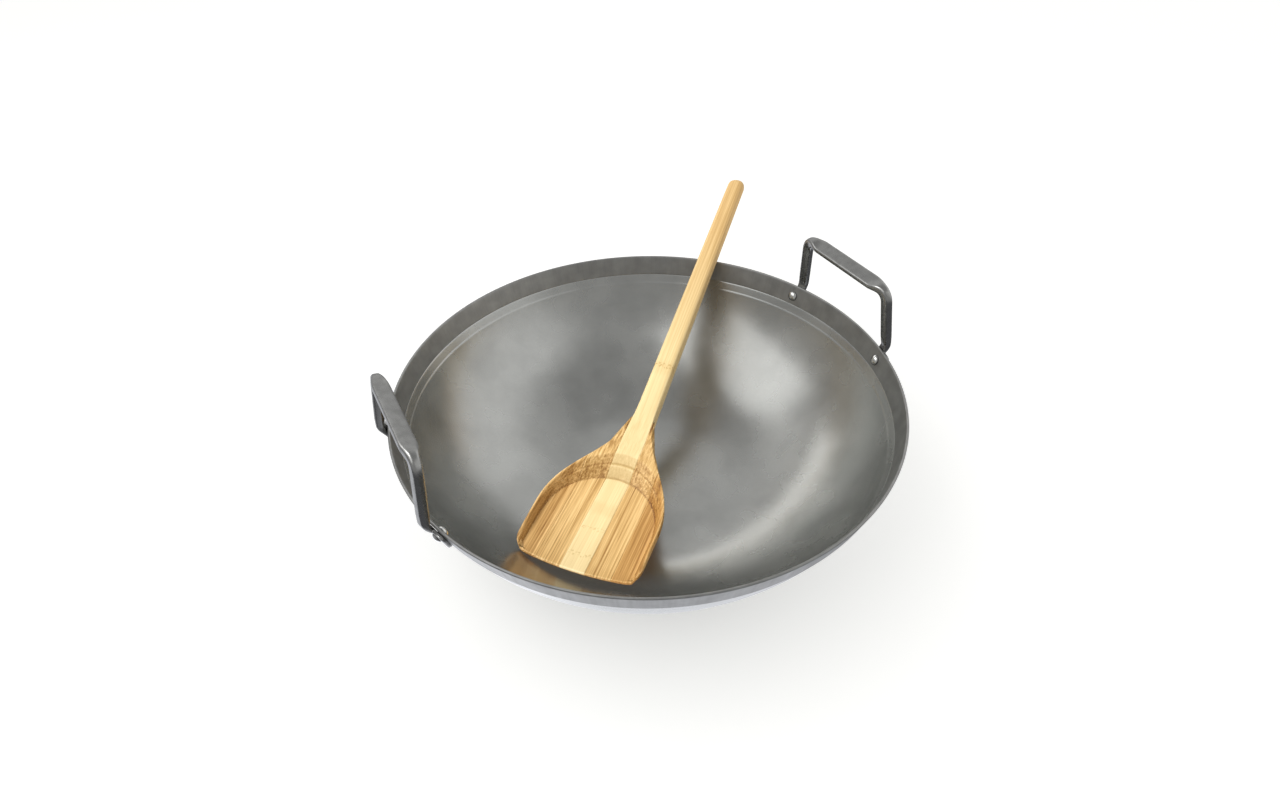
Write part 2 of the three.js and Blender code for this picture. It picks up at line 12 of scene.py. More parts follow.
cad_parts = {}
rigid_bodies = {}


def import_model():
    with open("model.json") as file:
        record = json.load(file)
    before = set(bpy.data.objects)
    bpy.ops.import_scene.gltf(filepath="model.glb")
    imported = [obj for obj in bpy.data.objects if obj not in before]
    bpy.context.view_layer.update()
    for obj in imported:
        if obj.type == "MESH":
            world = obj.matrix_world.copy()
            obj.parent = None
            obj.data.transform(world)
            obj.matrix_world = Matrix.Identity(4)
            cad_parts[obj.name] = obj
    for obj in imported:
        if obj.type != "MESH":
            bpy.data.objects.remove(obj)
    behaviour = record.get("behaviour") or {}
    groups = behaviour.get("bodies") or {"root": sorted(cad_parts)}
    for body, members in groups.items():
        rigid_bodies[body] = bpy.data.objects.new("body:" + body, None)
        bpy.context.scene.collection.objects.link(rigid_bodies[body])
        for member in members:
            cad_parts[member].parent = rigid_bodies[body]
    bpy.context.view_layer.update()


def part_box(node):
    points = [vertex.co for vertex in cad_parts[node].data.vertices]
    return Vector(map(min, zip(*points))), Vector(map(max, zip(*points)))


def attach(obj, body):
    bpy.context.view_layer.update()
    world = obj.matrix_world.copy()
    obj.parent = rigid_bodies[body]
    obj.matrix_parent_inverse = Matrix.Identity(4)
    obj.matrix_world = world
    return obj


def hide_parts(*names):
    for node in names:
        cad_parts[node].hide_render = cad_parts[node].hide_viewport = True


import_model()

bl_info = {
    "name": "Grill wok",
    "version": (1, 0, 0),
    "blender": (4, 5, 0),
    "location": "View3D > Sidebar > Wok",
    "description": "Spun steel wok with riveted loop handles and a laminated bamboo spatula",
    "category": "Object",
}

MM = 0.001
RIM_LOW, RIM_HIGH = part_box("bowl")


def linear(code):
    """Linear RGBA of an sRGB hex colour."""
    channels = [int(code[i:i + 2], 16) / 255 for i in (1, 3, 5)]
    return [c / 12.92 if c <= 0.04045 else ((c + 0.055) / 1.055) ** 2.4 for c in channels] + [1.0]


def length(name, description, mm):
    size = mm * MM
    return FloatProperty(name=name, description=description, default=size, min=0, unit="LENGTH", precision=4)


def angle(name, description, degrees):
    return FloatProperty(name=name, description=description, default=math.radians(degrees), subtype="ANGLE")


def colour(name, description, code):
    return FloatVectorProperty(
        name=name, description=description, default=linear(code), size=4, min=0, max=1, subtype="COLOR")


class BowlSizes(bpy.types.PropertyGroup):
    rim: length("Rim diameter", "Outer diameter at the rim", (RIM_HIGH.x - RIM_LOW.x) / MM)
    height: length("Height", "From the base to the rim's outer edge", 109)
    base: length("Base diameter", "Flat disc that the bowl stands on", 130)
    sheet: length("Sheet", "Thickness of the steel", 2)
    band: length("Band height", "Height of the flared rim band", 17.3)
    band_slope: angle("Band slope", "Steepness of the rim band", 71.5)
    ring: length("Ring height", "Height of the pressed ring below the band", 7.7)
    ring_slope: angle("Ring slope", "Mean steepness of the pressed ring", 59)
    bead_slope: angle("Bead slope", "Steepness of the two fine beads that edge the ring", 56.5)
    crease_slope: angle("Crease slope", "Steepness of the fine crease between ring and band", 84)
    sides: IntProperty(name="Sides", description="Faces round the bowl", default=256, min=16)
    light_steel: colour("Steel", "Satin steel of the bowl", "#b4b5b2")
    dark_steel: colour("Cloudy steel", "Darker clouds in the steel", "#a7a8a5")
    band_steel: colour("Band steel", "Brushed steel of the rim band", "#999997")


class HandleSizes(bpy.types.PropertyGroup):
    height: length("Loop height", "Centre of the grip above the rim", 53.5)
    width: length("Loop width", "Between the centres of the shoulders", 99)
    lean: length("Lean", "How far the loop leans in over the bowl", 6.5)
    shoulder: length("Shoulder radius", "Bend between arm and grip", 12)
    arm_width: length("Arm width", "Along the rim", 9)
    arm_depth: length("Arm depth", "Out from the rim", 7.6)
    arm_offset: length("Arm offset", "Arm's centre inboard of its rivet", 4)
    grip_width: length("Grip width", "Across the flattened grip", 13)
    grip_thickness: length("Grip thickness", "Through the flattened grip", 5.2)
    grip_flat: length("Grip length", "Straight part of the grip", 64)
    grip_tilt: angle("Grip tilt", "Turn of the flat grip towards the bowl", 23)
    foot_thickness: length("Foot thickness", "Riveted tab", 3)
    foot_height: length("Foot height", "Riveted tab", 15)
    steel: colour("Steel", "Tumbled stainless steel", "#a0a09e")
    worn_steel: colour("Worn steel", "Darker mottling in the tumbled finish", "#91918f")


class RivetSizes(bpy.types.PropertyGroup):
    turn: angle("Turn", "Rivets on each side of a handle's middle", 16.7)
    drop: length("Drop", "Rivet's axis below the rim", 10)
    head: length("Head diameter", "Domed head inside the bowl", 9)
    dome: length("Dome height", "Domed head inside the bowl", 3)
    tail: length("Tail diameter", "Upset end outside the foot", 7.6)
    tail_dome: length("Tail height", "Upset end outside the foot", 2)
    shank: length("Shank diameter", "Through bowl and foot", 5)
    steel: colour("Steel", "Bright headed rivet", "#d6d6d3")


class SpatulaSizes(bpy.types.PropertyGroup):
    length: length("Length", "Front edge to the end of the handle", 432)
    stave: length("Stave width", "Each of the five glued staves", 20.9)
    glue: length("Glue line", "Between two staves", 0.05)
    wall: length("Wall height", "Raised wall round the scoop", 9.2)
    blade: length("Blade thickness", "Below the scoop's floor", 5)
    handle_width: length("Handle width", "At the neck", 19)
    handle_end: length("Handle end width", "At the domed end", 17)
    handle_thickness: length("Handle thickness", "Height of the handle bar", 14)
    handle_rise: angle("Handle rise", "Bend of the handle up from the blade", 16.9)
    reach: length("Reach", "Front edge from the bowl's axis", 132.5)
    offset: length("Offset", "Spatula's line beside the bowl's axis", 11)
    seat: length("Seat height", "Front edge above the table", 27.34)
    azimuth: angle("Azimuth", "Way the handle points", 39.8)
    pitch: angle("Pitch", "Rise of the blade towards the handle", 3.994)
    pale: colour("Pale bamboo", "Centre stave", "#efd59c")
    warm: colour("Warm bamboo", "Centre stave towards the handle's end", "#d6b074")
    amber: colour("Amber bamboo", "Inner strips", "#d6ad6d")
    honey: colour("Honey bamboo", "Left outer strip", "#d0a464")
    brown: colour("Brown bamboo", "Right outer strip", "#c39453")


class StageSizes(bpy.types.PropertyGroup):
    turn: angle("Turn", "Camera's turn round the wok", -28.1)
    elevation: angle("Elevation", "Camera's tilt", 40.72)
    distance: length("Distance", "Camera to the rim's centre", 621.7)
    roll: angle("Roll", "Camera's roll", -1.05)
    aside: FloatProperty(name="Aside", description="Camera moved sideways", default=-5.9 * MM, unit="LENGTH")
    above: FloatProperty(name="Above", description="Camera moved up", default=-12.0 * MM, unit="LENGTH")
    floor: colour("Floor", "Plain pale studio floor", "#f4f4f2")


class WokParts(bpy.types.PropertyGroup):
    bowl: PointerProperty(type=BowlSizes)
    handle: PointerProperty(type=HandleSizes)
    rivet: PointerProperty(type=RivetSizes)
    spatula: PointerProperty(type=SpatulaSizes)
    stage: PointerProperty(type=StageSizes)


# Nodes


def add(tree, kind, inputs=None, **settings):
    """Adds a node with its settings. An input takes a value or another node's output socket."""
    node = tree.nodes.new(kind)
    for name, value in settings.items():
        setattr(node, name, value)
    for key, value in (inputs or {}).items():
        if isinstance(value, bpy.types.NodeSocket):
            tree.links.new(value, node.inputs[key])
        else:
            node.inputs[key].default_value = value
    return node


def attribute(tree, name, output="Fac"):
    return add(tree, "ShaderNodeAttribute", attribute_name=name).outputs[output]


def stretched(tree, vector, scale):
    """Coordinates scaled axis by axis. A pattern is drawn out along an axis with a small scale."""
    return add(tree, "ShaderNodeMapping", {"Vector": vector, "Scale": scale}).outputs["Vector"]


def noise(tree, vector, size, detail=2.0, roughness=0.5):
    """Noise with features of about a size in metres."""
    inputs = {"Vector": vector, "Scale": 1 / size, "Detail": detail, "Roughness": roughness}
    return add(tree, "ShaderNodeTexNoise", inputs).outputs["Fac"]


def cells(tree, vector, size):
    """Distance to the nearest of scattered points, in parts of their spacing."""
    return add(tree, "ShaderNodeTexVoronoi", {"Vector": vector, "Scale": 1 / size}).outputs["Distance"]


def remap(tree, value, low, high, to_low=0.0, to_high=1.0, **settings):
    """Value carried from one range to another, and held at its ends."""
    ends = {"Value": value, 1: low, 2: high, 3: to_low, 4: to_high}
    return add(tree, "ShaderNodeMapRange", ends, **settings).outputs["Result"]


def spread(tree, pattern, low, high):
    """Noise, most of which lies between 0.3 and 0.7, spread between two values."""
    return remap(tree, pattern, 0.3, 0.7, low, high)


def maths(tree, operation, *values):
    return add(tree, "ShaderNodeMath", dict(enumerate(values)), operation=operation).outputs[0]


def combined(tree, x=0.0, y=0.0, z=0.0):
    return add(tree, "ShaderNodeCombineXYZ", {0: x, 1: y, 2: z}).outputs[0]


def between(tree, share, first, second):
    """Value between two others."""
    return add(tree, "ShaderNodeMix", {0: share, 2: first, 3: second}).outputs[0]


def blend(tree, share, first, second, mode="MIX"):
    """Colour between two others."""
    inputs = {0: share, 6: first, 7: second}
    return add(tree, "ShaderNodeMix", inputs, data_type="RGBA", blend_type=mode).outputs[2]


def product(tree, tone, factor):
    """Colour times a value or another colour."""
    return blend(tree, 1.0, tone, factor, "MULTIPLY")


# Materials


def new_material(name, constants):
    """Node material with its output and its shader, on which the constants are set."""
    material = bpy.data.materials.new(name)
    material.use_nodes = True
    tree = material.node_tree
    tree.nodes.clear()
    shader = add(tree, "ShaderNodeBsdfPrincipled", constants)
    add(tree, "ShaderNodeOutputMaterial", {"Surface": shader.outputs["BSDF"]})
    return material, tree, shader


def dress(tree, shader, tone, gloss, height, strength, depth):
    """Plugs colour and roughness into the shader, and a height pattern as bump of a depth in metres."""
    bump = add(tree, "ShaderNodeBump", {"Height": height, "Strength": strength, "Distance": depth})
    for name, socket in (("Base Color", tone), ("Roughness", gloss), ("Normal", bump.outputs["Normal"])):
        tree.links.new(socket, shader.inputs[name])


def spun_carbon_steel(bowl):
    """Bare carbon steel, spun and satin sanded: soft wide reflections, faint clouds, a brushed rim band."""
    material, tree, shader = new_material("spun_carbon_steel", {"Metallic": 0.97})
    spun = attribute(tree, "spun", "Vector")
    band = attribute(tree, "band")
    place = add(tree, "ShaderNodeTexCoord").outputs["Object"]
    # Clouds of about 40 mm, from uneven sanding
    cloud = noise(tree, place, 40 * MM, detail=3.0)
    cloudy = blend(tree, remap(tree, cloud, 0.35, 0.65), bowl.dark_steel[:], bowl.light_steel[:])
    # Sparse specks of oxide, about 1 mm across and 12 mm apart, and a fine pepper of 1.4 mm
    speck = remap(tree, cells(tree, place, 12 * MM), 0.03, 0.07, 0.84, 1.0)
    dust = spread(tree, noise(tree, place, 1.4 * MM), 0.975, 1.025)
    wall = product(tree, cloudy, maths(tree, "MULTIPLY", speck, dust))
    # Brush marks run down the band; 0.3 mm in the steel, drawn 1.5 mm wide so that they show
    brush = noise(tree, stretched(tree, spun, (1, 1, 0.03)), 1.5 * MM, detail=3.0)
    # Stains of about 12 mm on the band
    stain = noise(tree, place, 12 * MM, detail=4.0)
    worn = maths(tree, "MULTIPLY", spread(tree, brush, 0.94, 1.05), spread(tree, stain, 0.88, 1.12))
    rim = product(tree, bowl.band_steel[:], worn)
    # Turning marks run round the wall, about 1 mm apart
    turning = noise(tree, stretched(tree, spun, (0.02, 0.02, 1)), 1 * MM)
    tone = blend(tree, band, wall, rim)
    gloss = between(tree, band, spread(tree, cloud, 0.24, 0.29), spread(tree, brush, 0.36, 0.5))
    marks = between(tree, band, turning, brush)
    dress(tree, shader, tone, gloss, marks, strength=0.02, depth=0.2 * MM)
    return material


def tumbled_stainless(handle):
    """Forged stainless, tumbled: light mottled satin with small pits and soft bright edges."""
    material, tree, shader = new_material("tumbled_stainless", {"Metallic": 1.0})
    place = add(tree, "ShaderNodeTexCoord").outputs["Object"]
    # Mottling of about 6 mm, with pits of about 1 mm
    mottle = noise(tree, place, 6 * MM, detail=4.0)
    pits = noise(tree, place, 1.1 * MM)
    tone = blend(tree, remap(tree, mottle, 0.32, 0.62), handle.worn_steel[:], handle.steel[:])
    gloss = spread(tree, mottle, 0.3, 0.24)
    dress(tree, shader, tone, gloss, maths(tree, "ADD", mottle, pits), strength=0.03, depth=0.3 * MM)
    return material


def headed_rivet_steel(rivet):
    """Cold-headed stainless: bright, almost mirror smooth domes with faint die marks."""
    material, tree, shader = new_material("headed_rivet_steel", {"Metallic": 1.0})
    place = add(tree, "ShaderNodeTexCoord").outputs["Object"]
    # Die marks of about 1.5 mm
    marks = noise(tree, place, 1.5 * MM, detail=3.0)
    steel = product(tree, rivet.steel[:], spread(tree, marks, 0.85, 1.0))
    # Painted shade: the steel darkens towards the foot of each head, as a contact shadow round its edge
    painted_contact_shade = remap(tree, attribute(tree, "rise"), 0.05, 0.4, 0.12, 1.0)
    gloss = spread(tree, marks, 0.16, 0.26)
    dress(tree, shader, product(tree, steel, painted_contact_shade), gloss, marks, strength=0.1, depth=0.2 * MM)
    return material


def sanded_bamboo(name, tone, end_tone, stripes, bundles, knots=()):
    """Laminated bamboo, sanded and lightly oiled: straight fibres along the stave, dark bundles that show as
    dashes lengthwise and as dots where the surface cuts across them, and broken knot lines."""
    material, tree, shader = new_material(name, {"IOR": 1.45, "Specular IOR Level": 0.4})
    fibre = attribute(tree, "grain", "Vector")
    along = add(tree, "ShaderNodeSeparateXYZ", {0: fibre}).outputs["X"]
    # Fibre stripes, about 1.4 mm wide and 80 times as long, and growth tones of about 7 mm
    drawn = stretched(tree, fibre, (0.012, 1, 1))
    stripe = noise(tree, drawn, 1.4 * MM, detail=3.0, roughness=0.6)
    line = remap(tree, stripe, 0.34, 0.66, -stripes, stripes)
    shade = spread(tree, noise(tree, drawn, 7 * MM, detail=1.0), -0.6 * stripes, 0.6 * stripes)
    # Vascular bundles, about 1.2 mm apart
    cell = cells(tree, stretched(tree, fibre, (0.06, 1, 1)), 1.2 * MM)
    dot = remap(tree, cell, 0.1, 0.36, -bundles, 0.0)
    # Towards the handle's end the wood is darker and its stripes are stronger
    aged = remap(tree, along, 190 * MM, 360 * MM)
    strength = maths(tree, "MULTIPLY_ADD", aged, 1.2, 1.0)
    plain = maths(tree, "MULTIPLY_ADD", maths(tree, "ADD", line, shade), strength, dot)
    level = maths(tree, "ADD", plain, 1.0)
    # Knots waver by a few millimetres and break up into dashes
    waver = 9 * MM
    wobble = noise(tree, stretched(tree, fibre, (0.2, 1, 1)), 4.5 * MM, detail=3.0)
    bent = maths(tree, "MULTIPLY_ADD", wobble, waver, along)
    dashes = noise(tree, fibre, 2 * MM, detail=1.0)
    for place, width, depth, broken in knots:
        gap = maths(tree, "ABSOLUTE", maths(tree, "SUBTRACT", bent, place + waver / 2))
        here = remap(tree, gap, 0.4 * width, width, -depth, 0.0)
        kept = remap(tree, dashes, 0.5, 0.6, 1 - broken, 1.0)
        level = maths(tree, "MULTIPLY", level, maths(tree, "MULTIPLY_ADD", here, kept, 1.0))
    # Darker, speckled wall of the scoop, grains of about 0.7 mm: partly the cut fibres' own tone, partly
    # painted shade
    darker, speckle = -0.25, 0.8 * bundles
    dry = remap(tree, noise(tree, fibre, 0.7 * MM), 0.35, 0.65, darker - speckle, darker + speckle)
    # Painted light: shade on the scoop's wall, its foot line and the ledge's groove, and a paler highlight on
    # the sanded edge
    wall_tone_and_painted_light = maths(tree, "MULTIPLY_ADD", attribute(tree, "routed"), dry, 1.0)
    level = maths(tree, "MULTIPLY", level, wall_tone_and_painted_light)
    # Darker fibres are also redder
    red, blue = (maths(tree, "POWER", level, power) for power in (0.75, 1.5))
    stain = combined(tree, red, level, blue)
    ground = blend(tree, aged, tone[:], end_tone[:])
    gloss = spread(tree, stripe, 0.6, 0.48)
    dress(tree, shader, product(tree, ground, stain), gloss, plain, strength=0.25, depth=0.3 * MM)
    return material


# Meshes


def new_object(name, data):
    """Object at the origin, linked to the scene."""
    thing = bpy.data.objects.new(name, data)
    bpy.context.scene.collection.objects.link(thing)
    return thing


def baked(thing):
    """Mesh of an object with its modifiers applied."""
    return bpy.data.meshes.new_from_object(thing.evaluated_get(bpy.context.evaluated_depsgraph_get()))


def new_piece(name, points, faces, material, attributes=None):
    """Object with a smooth mesh in metres, at the origin, with its point attributes."""
    mesh = bpy.data.meshes.new(name)
    mesh.from_pydata([tuple(p) for p in points], [], faces)
    work = bmesh.new()
    work.from_mesh(mesh)
    bmesh.ops.recalc_face_normals(work, faces=work.faces)
    work.to_mesh(mesh)
    work.free()
    mesh.shade_smooth()
    for key, values in (attributes or {}).items():
        values = np.asarray(values, np.float32)
        kind, slot = ("FLOAT", "value") if values.ndim == 1 else ("FLOAT_VECTOR", "vector")
        mesh.attributes.new(key, kind, "POINT").data.foreach_set(slot, values.ravel())
    mesh.materials.append(material)
    return new_object(name, mesh)


def seat(piece, body, slot, *nodes):
    """Puts a finished piece on its body, in the place of its solids."""
    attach(piece, body)
    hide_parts(*nodes)


def skin(rings):
    """Points and faces of a closed skin over rings of equal count, with fan caps."""
    rings = np.asarray(rings)
    rows, count = rings.shape[:2]
    points = np.concatenate([rings.reshape(-1, 3), rings[:1].mean(1), rings[-1:].mean(1)])
    faces = []
    for i in range(count):
        j = (i + 1) % count
        for row in range(rows - 1):
            near, far = row * count, (row + 1) * count
            faces.append((near + i, near + j, far + j, far + i))
        faces.append((rows * count, j, i))
        faces.append((rows * count + 1, (rows - 1) * count + i, (rows - 1) * count + j))
    return points, faces


def bezier(controls, count):
    """Points on a quadratic or cubic curve."""
    controls = np.asarray(controls, float)
    t = np.linspace(0, 1, count)[:, None]
    order = len(controls) - 1
    return sum(math.comb(order, k) * (1 - t) ** (order - k) * t ** k * controls[k] for k in range(order + 1))


def smoothstep(value, low, high):
    t = np.clip((np.asarray(value, float) - low) / (high - low), 0, 1)
    return t * t * (3 - 2 * t)


def plateau(value, start, full, fade, end):
    """One from full to fade, easing to nought at start and end."""
    return smoothstep(value, start, full) * (1 - smoothstep(value, fade, end))


def circle(count):
    """Points round a unit circle."""
    turn = np.arange(count) * 2 * math.pi / count
    return np.stack([np.cos(turn), np.sin(turn)], -1)


def bell(reach, width):
    """Smoothing weights that sum to one."""
    weights = np.exp(-0.5 * (np.arange(-reach, reach + 1) / width) ** 2)
    return weights / weights.sum()


# Bowl

PROFILE_STEP = 0.1 * MM
BEAD = 0.7 * MM
BAND_EDGE = 1 * MM
# The ring is steeper between its beads than on average
RING_STEEPER = 0.1
LIP_STEPS = 8


def band_radius(bowl, drop):
    """Radius of the band's outer face at a depth below the rim."""
    return bowl.rim / 2 - drop / math.tan(bowl.band_slope)


def bowl_profile(bowl):
    """Radius, height, slope and run of the sheet's outer face, row by row, and the run at the ring's top.
    A fine bead edges the pressed ring on both sides, with a crease above it."""
    flat = bowl.base / 2
    foot_height = bowl.height - bowl.band - bowl.ring
    reach = band_radius(bowl, bowl.band) - bowl.ring / math.tan(bowl.ring_slope) - flat
    bend = (reach ** 2 + foot_height ** 2) / (2 * foot_height)
    arc = flat + bend * 2 * math.atan(foot_height / reach)
    ring = arc + bowl.ring / math.sin(bowl.ring_slope)
    rim = ring + bowl.band / math.sin(bowl.band_slope)
    run = np.arange(0, rim + PROFILE_STEP, PROFILE_STEP)
    slope = np.where(run < arc, np.maximum(run - flat, 0) / bend, bowl.ring_slope + RING_STEEPER)
    slope = np.where(run > ring, bowl.band_slope, slope)
    for edge in (arc + BEAD, ring - BEAD):
        slope = np.where(np.abs(run - edge) < BEAD, bowl.bead_slope, slope)
    slope = np.where((run > ring) & (run < ring + BEAD), bowl.crease_slope, slope)
    slope = np.convolve(np.pad(slope, 20, mode="edge"), bell(20, 3), mode="valid")
    radius, height = (np.concatenate([[0], np.cumsum(part(slope))[:-1]]) for part in (np.cos, np.sin))
    radius *= bowl.rim / 2 / radius[-1]
    height *= bowl.height / height[-1]
    # Rows of the mesh: start, end and count of each stretch, close together at the ring
    stretches = (
        (0, flat - 4 * MM, 9),
        (flat - 2 * MM, arc - 4 * MM, 56),
        (arc - 3 * MM, ring + 3 * MM, 84),
        (ring + 4 * MM, rim - bowl.sheet / 2, 10),
    )
    stops = np.concatenate([np.linspace(*stretch) for stretch in stretches])
    return [np.interp(stops, run, values) for values in (radius, height, slope)] + [stops, ring]


class WOK_OT_bowl(bpy.types.Operator):
    """Spun bowl: flat base, round wall, pressed ring, flared band and rounded rim"""
    bl_idname = "wok.bowl"
    bl_label = "Bowl"

    def execute(self, context):
        bowl = context.scene.wok.bowl
        outer_radius, outer_height, slope, run, ring = bowl_profile(bowl)
        inner_radius = outer_radius - bowl.sheet * np.sin(slope)
        inner_height = outer_height + bowl.sheet * np.cos(slope)
        # Half round from the outer face over the rim to the inner face
        turn = np.linspace(0, math.pi, LIP_STEPS + 1)[1:-1]
        out, up = bowl.sheet / 2 * np.cos(turn), bowl.sheet / 2 * np.sin(turn)
        flare, rise = math.cos(slope[-1]), math.sin(slope[-1])
        lip_radius = (outer_radius[-1] + inner_radius[-1]) / 2 + out * rise + up * flare
        lip_height = (outer_height[-1] + inner_height[-1]) / 2 - out * flare + up * rise
        radius = np.concatenate([outer_radius, lip_radius, inner_radius[::-1]])
        height = np.concatenate([outer_height, lip_height, inner_height[::-1]])
        run = np.concatenate([run, np.full(len(turn), run[-1]), run[::-1]])
        hoop = circle(bowl.sides)
        # The caps stand for the first and last rows, which are points on the axis
        rows = list(zip(radius, height))[1:-1]
        points, faces = skin([np.column_stack([hoop * r, np.full(bowl.sides, z)]) for r, z in rows])
        points[-2:] = (0, 0, height[0]), (0, 0, height[-1])
        along = np.append(np.repeat(run[1:-1], bowl.sides), (0, 0))
        around = np.append(np.tile(hoop * bowl.rim / 2, (len(rows), 1)), np.zeros((2, 2)), 0)
        piece = new_piece("bowl_spun", points, faces, spun_carbon_steel(bowl), {
            "spun": np.column_stack([around, along]),
            "band": smoothstep(along, ring - BAND_EDGE, ring + BAND_EDGE),
        })
        seat(piece, "wok", "carbon_steel", "bowl")
        return {"FINISHED"}


# Loop handles

# Gaps of the foot off the band and of the arm off the rim
SEAT_GAP = 0.3 * MM
RIM_GAP = 0.5 * MM
HEEL_ABOVE_RIM = 2 * MM
HEEL_RADIUS = 9 * MM
ARM_FULL_ABOVE_RIM = 10 * MM
SECTION_BEVEL = 0.45
# Shares of an edge that are cut off its corners, in two rounds
CORNER_CUTS = (0.16, 0.25)
FOOT_INBOARD = 9 * MM
FOOT_OUTBOARD = 11 * MM
FOOT_BELOW_RIM = 2 * MM
FOOT_EDGE = 0.9 * MM
FOOT_SIDES = 64
FOOT_SQUARENESS = 5
FORGE_VOXEL = 0.36 * MM


def chamfered(half_deep, half_wide, bevel):
    """Bevelled bar section with softened corners, as deep and wide pairs."""
    corners = np.array([
        (half_deep, half_wide - bevel), (half_deep - bevel, half_wide),
        (-half_deep + bevel, half_wide), (-half_deep, half_wide - bevel),
        (-half_deep, -half_wide + bevel), (-half_deep + bevel, -half_wide),
        (half_deep - bevel, -half_wide), (half_deep, -half_wide + bevel),
    ])
    for share in CORNER_CUTS:
        after = np.roll(corners, -1, 0)
        pairs = corners * (1 - share) + after * share, corners * share + after * (1 - share)
        corners = np.stack(pairs, 1).reshape(-1, 2)
    return corners


def loop_line(bowl, handle, rivet):
    """Centre line of the right loop, from one foot over the grip to the other."""
    drop = rivet.drop - rivet.tail / 2
    arm_radius = bowl.rim / 2 + RIM_GAP + handle.arm_depth / 2
    arm_turn = rivet.turn - handle.arm_offset / arm_radius
    foot_radius = band_radius(bowl, drop) + SEAT_GAP + handle.foot_thickness / 2
    aim = np.array([math.cos(arm_turn), math.sin(arm_turn), 0])
    foot = aim * foot_radius + (0, 0, bowl.height - drop)
    heel = aim * arm_radius + (0, 0, bowl.height + HEEL_ABOVE_RIM)
    shoulder = np.array([heel[0] - handle.lean, handle.width / 2, bowl.height + handle.height])
    middle = shoulder * (1, 0, 1)

    def corner(before, at, after, radius, count):
        into = (before - at) / np.linalg.norm(before - at)
        out = (after - at) / np.linalg.norm(after - at)
        cut = radius / math.tan(math.acos(np.dot(into, out)) / 2)
        return bezier([at + into * cut, at, at + out * cut], count)

    bend = corner(heel, shoulder, middle, handle.shoulder, 24)
    half = np.concatenate([
        np.linspace(foot, heel, 6)[:2],
        corner(foot, heel, shoulder, HEEL_RADIUS, 12),
        np.linspace(heel + (shoulder - heel) * 0.2, bend[0], 12)[:-1],
        bend,
        np.linspace(bend[-1], middle, 30)[1:],
    ])
    return np.concatenate([half, (half * (1, -1, 1))[::-1][1:]])


def loop_rings(bowl, handle, rivet):
    """Sections of the forged bar: flat and tilted on the grip, squarer on the arms, thin at the feet."""
    line = loop_line(bowl, handle, rivet)
    ahead = np.gradient(line, axis=0)
    ahead /= np.linalg.norm(ahead, axis=1)[:, None]
    rings = []
    for point, along in zip(line, ahead):
        outward = np.array([point[0], point[1], 0]) / math.hypot(point[0], point[1])
        deep = outward - along * np.dot(outward, along)
        deep /= np.linalg.norm(deep)
        wide = np.cross(along, deep)
        grip = 1 - float(smoothstep(abs(point[1]), handle.grip_flat / 2, handle.width / 2))
        rise = point[2] - bowl.height
        foot = 1 - float(smoothstep(rise, -rivet.drop + rivet.tail / 2, ARM_FULL_ABOVE_RIM))
        arm = handle.arm_depth + (handle.foot_thickness - handle.arm_depth) * foot
        half_deep = (arm + (handle.grip_width - arm) * grip) / 2
        half_wide = (handle.arm_width + (handle.grip_thickness - handle.arm_width) * grip) / 2
        section = chamfered(half_deep, half_wide, min(half_deep, half_wide) * SECTION_BEVEL)
        tilt = handle.grip_tilt * grip
        d = section[:, 0] * math.cos(tilt) - section[:, 1] * math.sin(tilt)
        w = section[:, 0] * math.sin(tilt) + section[:, 1] * math.cos(tilt)
        rings.append(point + d[:, None] * deep + w[:, None] * wide)
    return rings


def foot_rings(bowl, handle, rivet, hand):
    """Rounded tab that follows the band's curve under the arm and round the rivet, as nested outlines."""
    inner = handle.arm_width / 2 - handle.arm_offset - FOOT_INBOARD
    half = np.array([(FOOT_OUTBOARD - inner) / 2, handle.foot_height / 2])
    middle = np.array([(FOOT_OUTBOARD + inner) / 2, FOOT_BELOW_RIM + handle.foot_height / 2])
    square = circle(FOOT_SIDES)
    square /= (np.abs(square) ** FOOT_SQUARENESS).sum(1, keepdims=True) ** (1 / FOOT_SQUARENESS)
    # Share of the full outline and height off the band
    face = handle.foot_thickness
    levels = [(0.02, 0), (0.5, 0), (1, 0), (1, face - FOOT_EDGE)]
    for bend in np.radians([30, 60, 90]):
        inset = 1 - FOOT_EDGE * (1 - math.cos(bend)) / half[1]
        levels.append((inset, face - FOOT_EDGE + FOOT_EDGE * math.sin(bend)))
    levels += [(0.5, face), (0.02, face)]
    rings = []
    for size, out in levels:
        across, drop = (middle + square * half * size).T
        radius = band_radius(bowl, drop) + SEAT_GAP + out
        azimuth = hand * (rivet.turn + across / (bowl.rim / 2))
        rings.append(np.stack([radius * np.cos(azimuth), radius * np.sin(azimuth), bowl.height - drop], -1))
    return rings


def forge(name, shells):
    """One closed mesh from overlapping shells, with the joins smoothed as in a forging."""
    points, faces, start = [], [], 0
    for shell_points, shell_faces in shells:
        points.append(shell_points)
        faces += [tuple(i + start for i in face) for face in shell_faces]
        start += len(shell_points)
    rough = new_piece(name + "_rough", np.concatenate(points), faces, None)
    remesh = rough.modifiers.new("Union", "REMESH")
    remesh.mode = "VOXEL"
    remesh.voxel_size = FORGE_VOXEL
    smooth = rough.modifiers.new("Smooth", "SMOOTH")
    smooth.factor = 0.5
    smooth.iterations = 4
    solid = baked(rough)
    bpy.data.objects.remove(rough)
    solid.name = name
    solid.shade_smooth()
    return solid


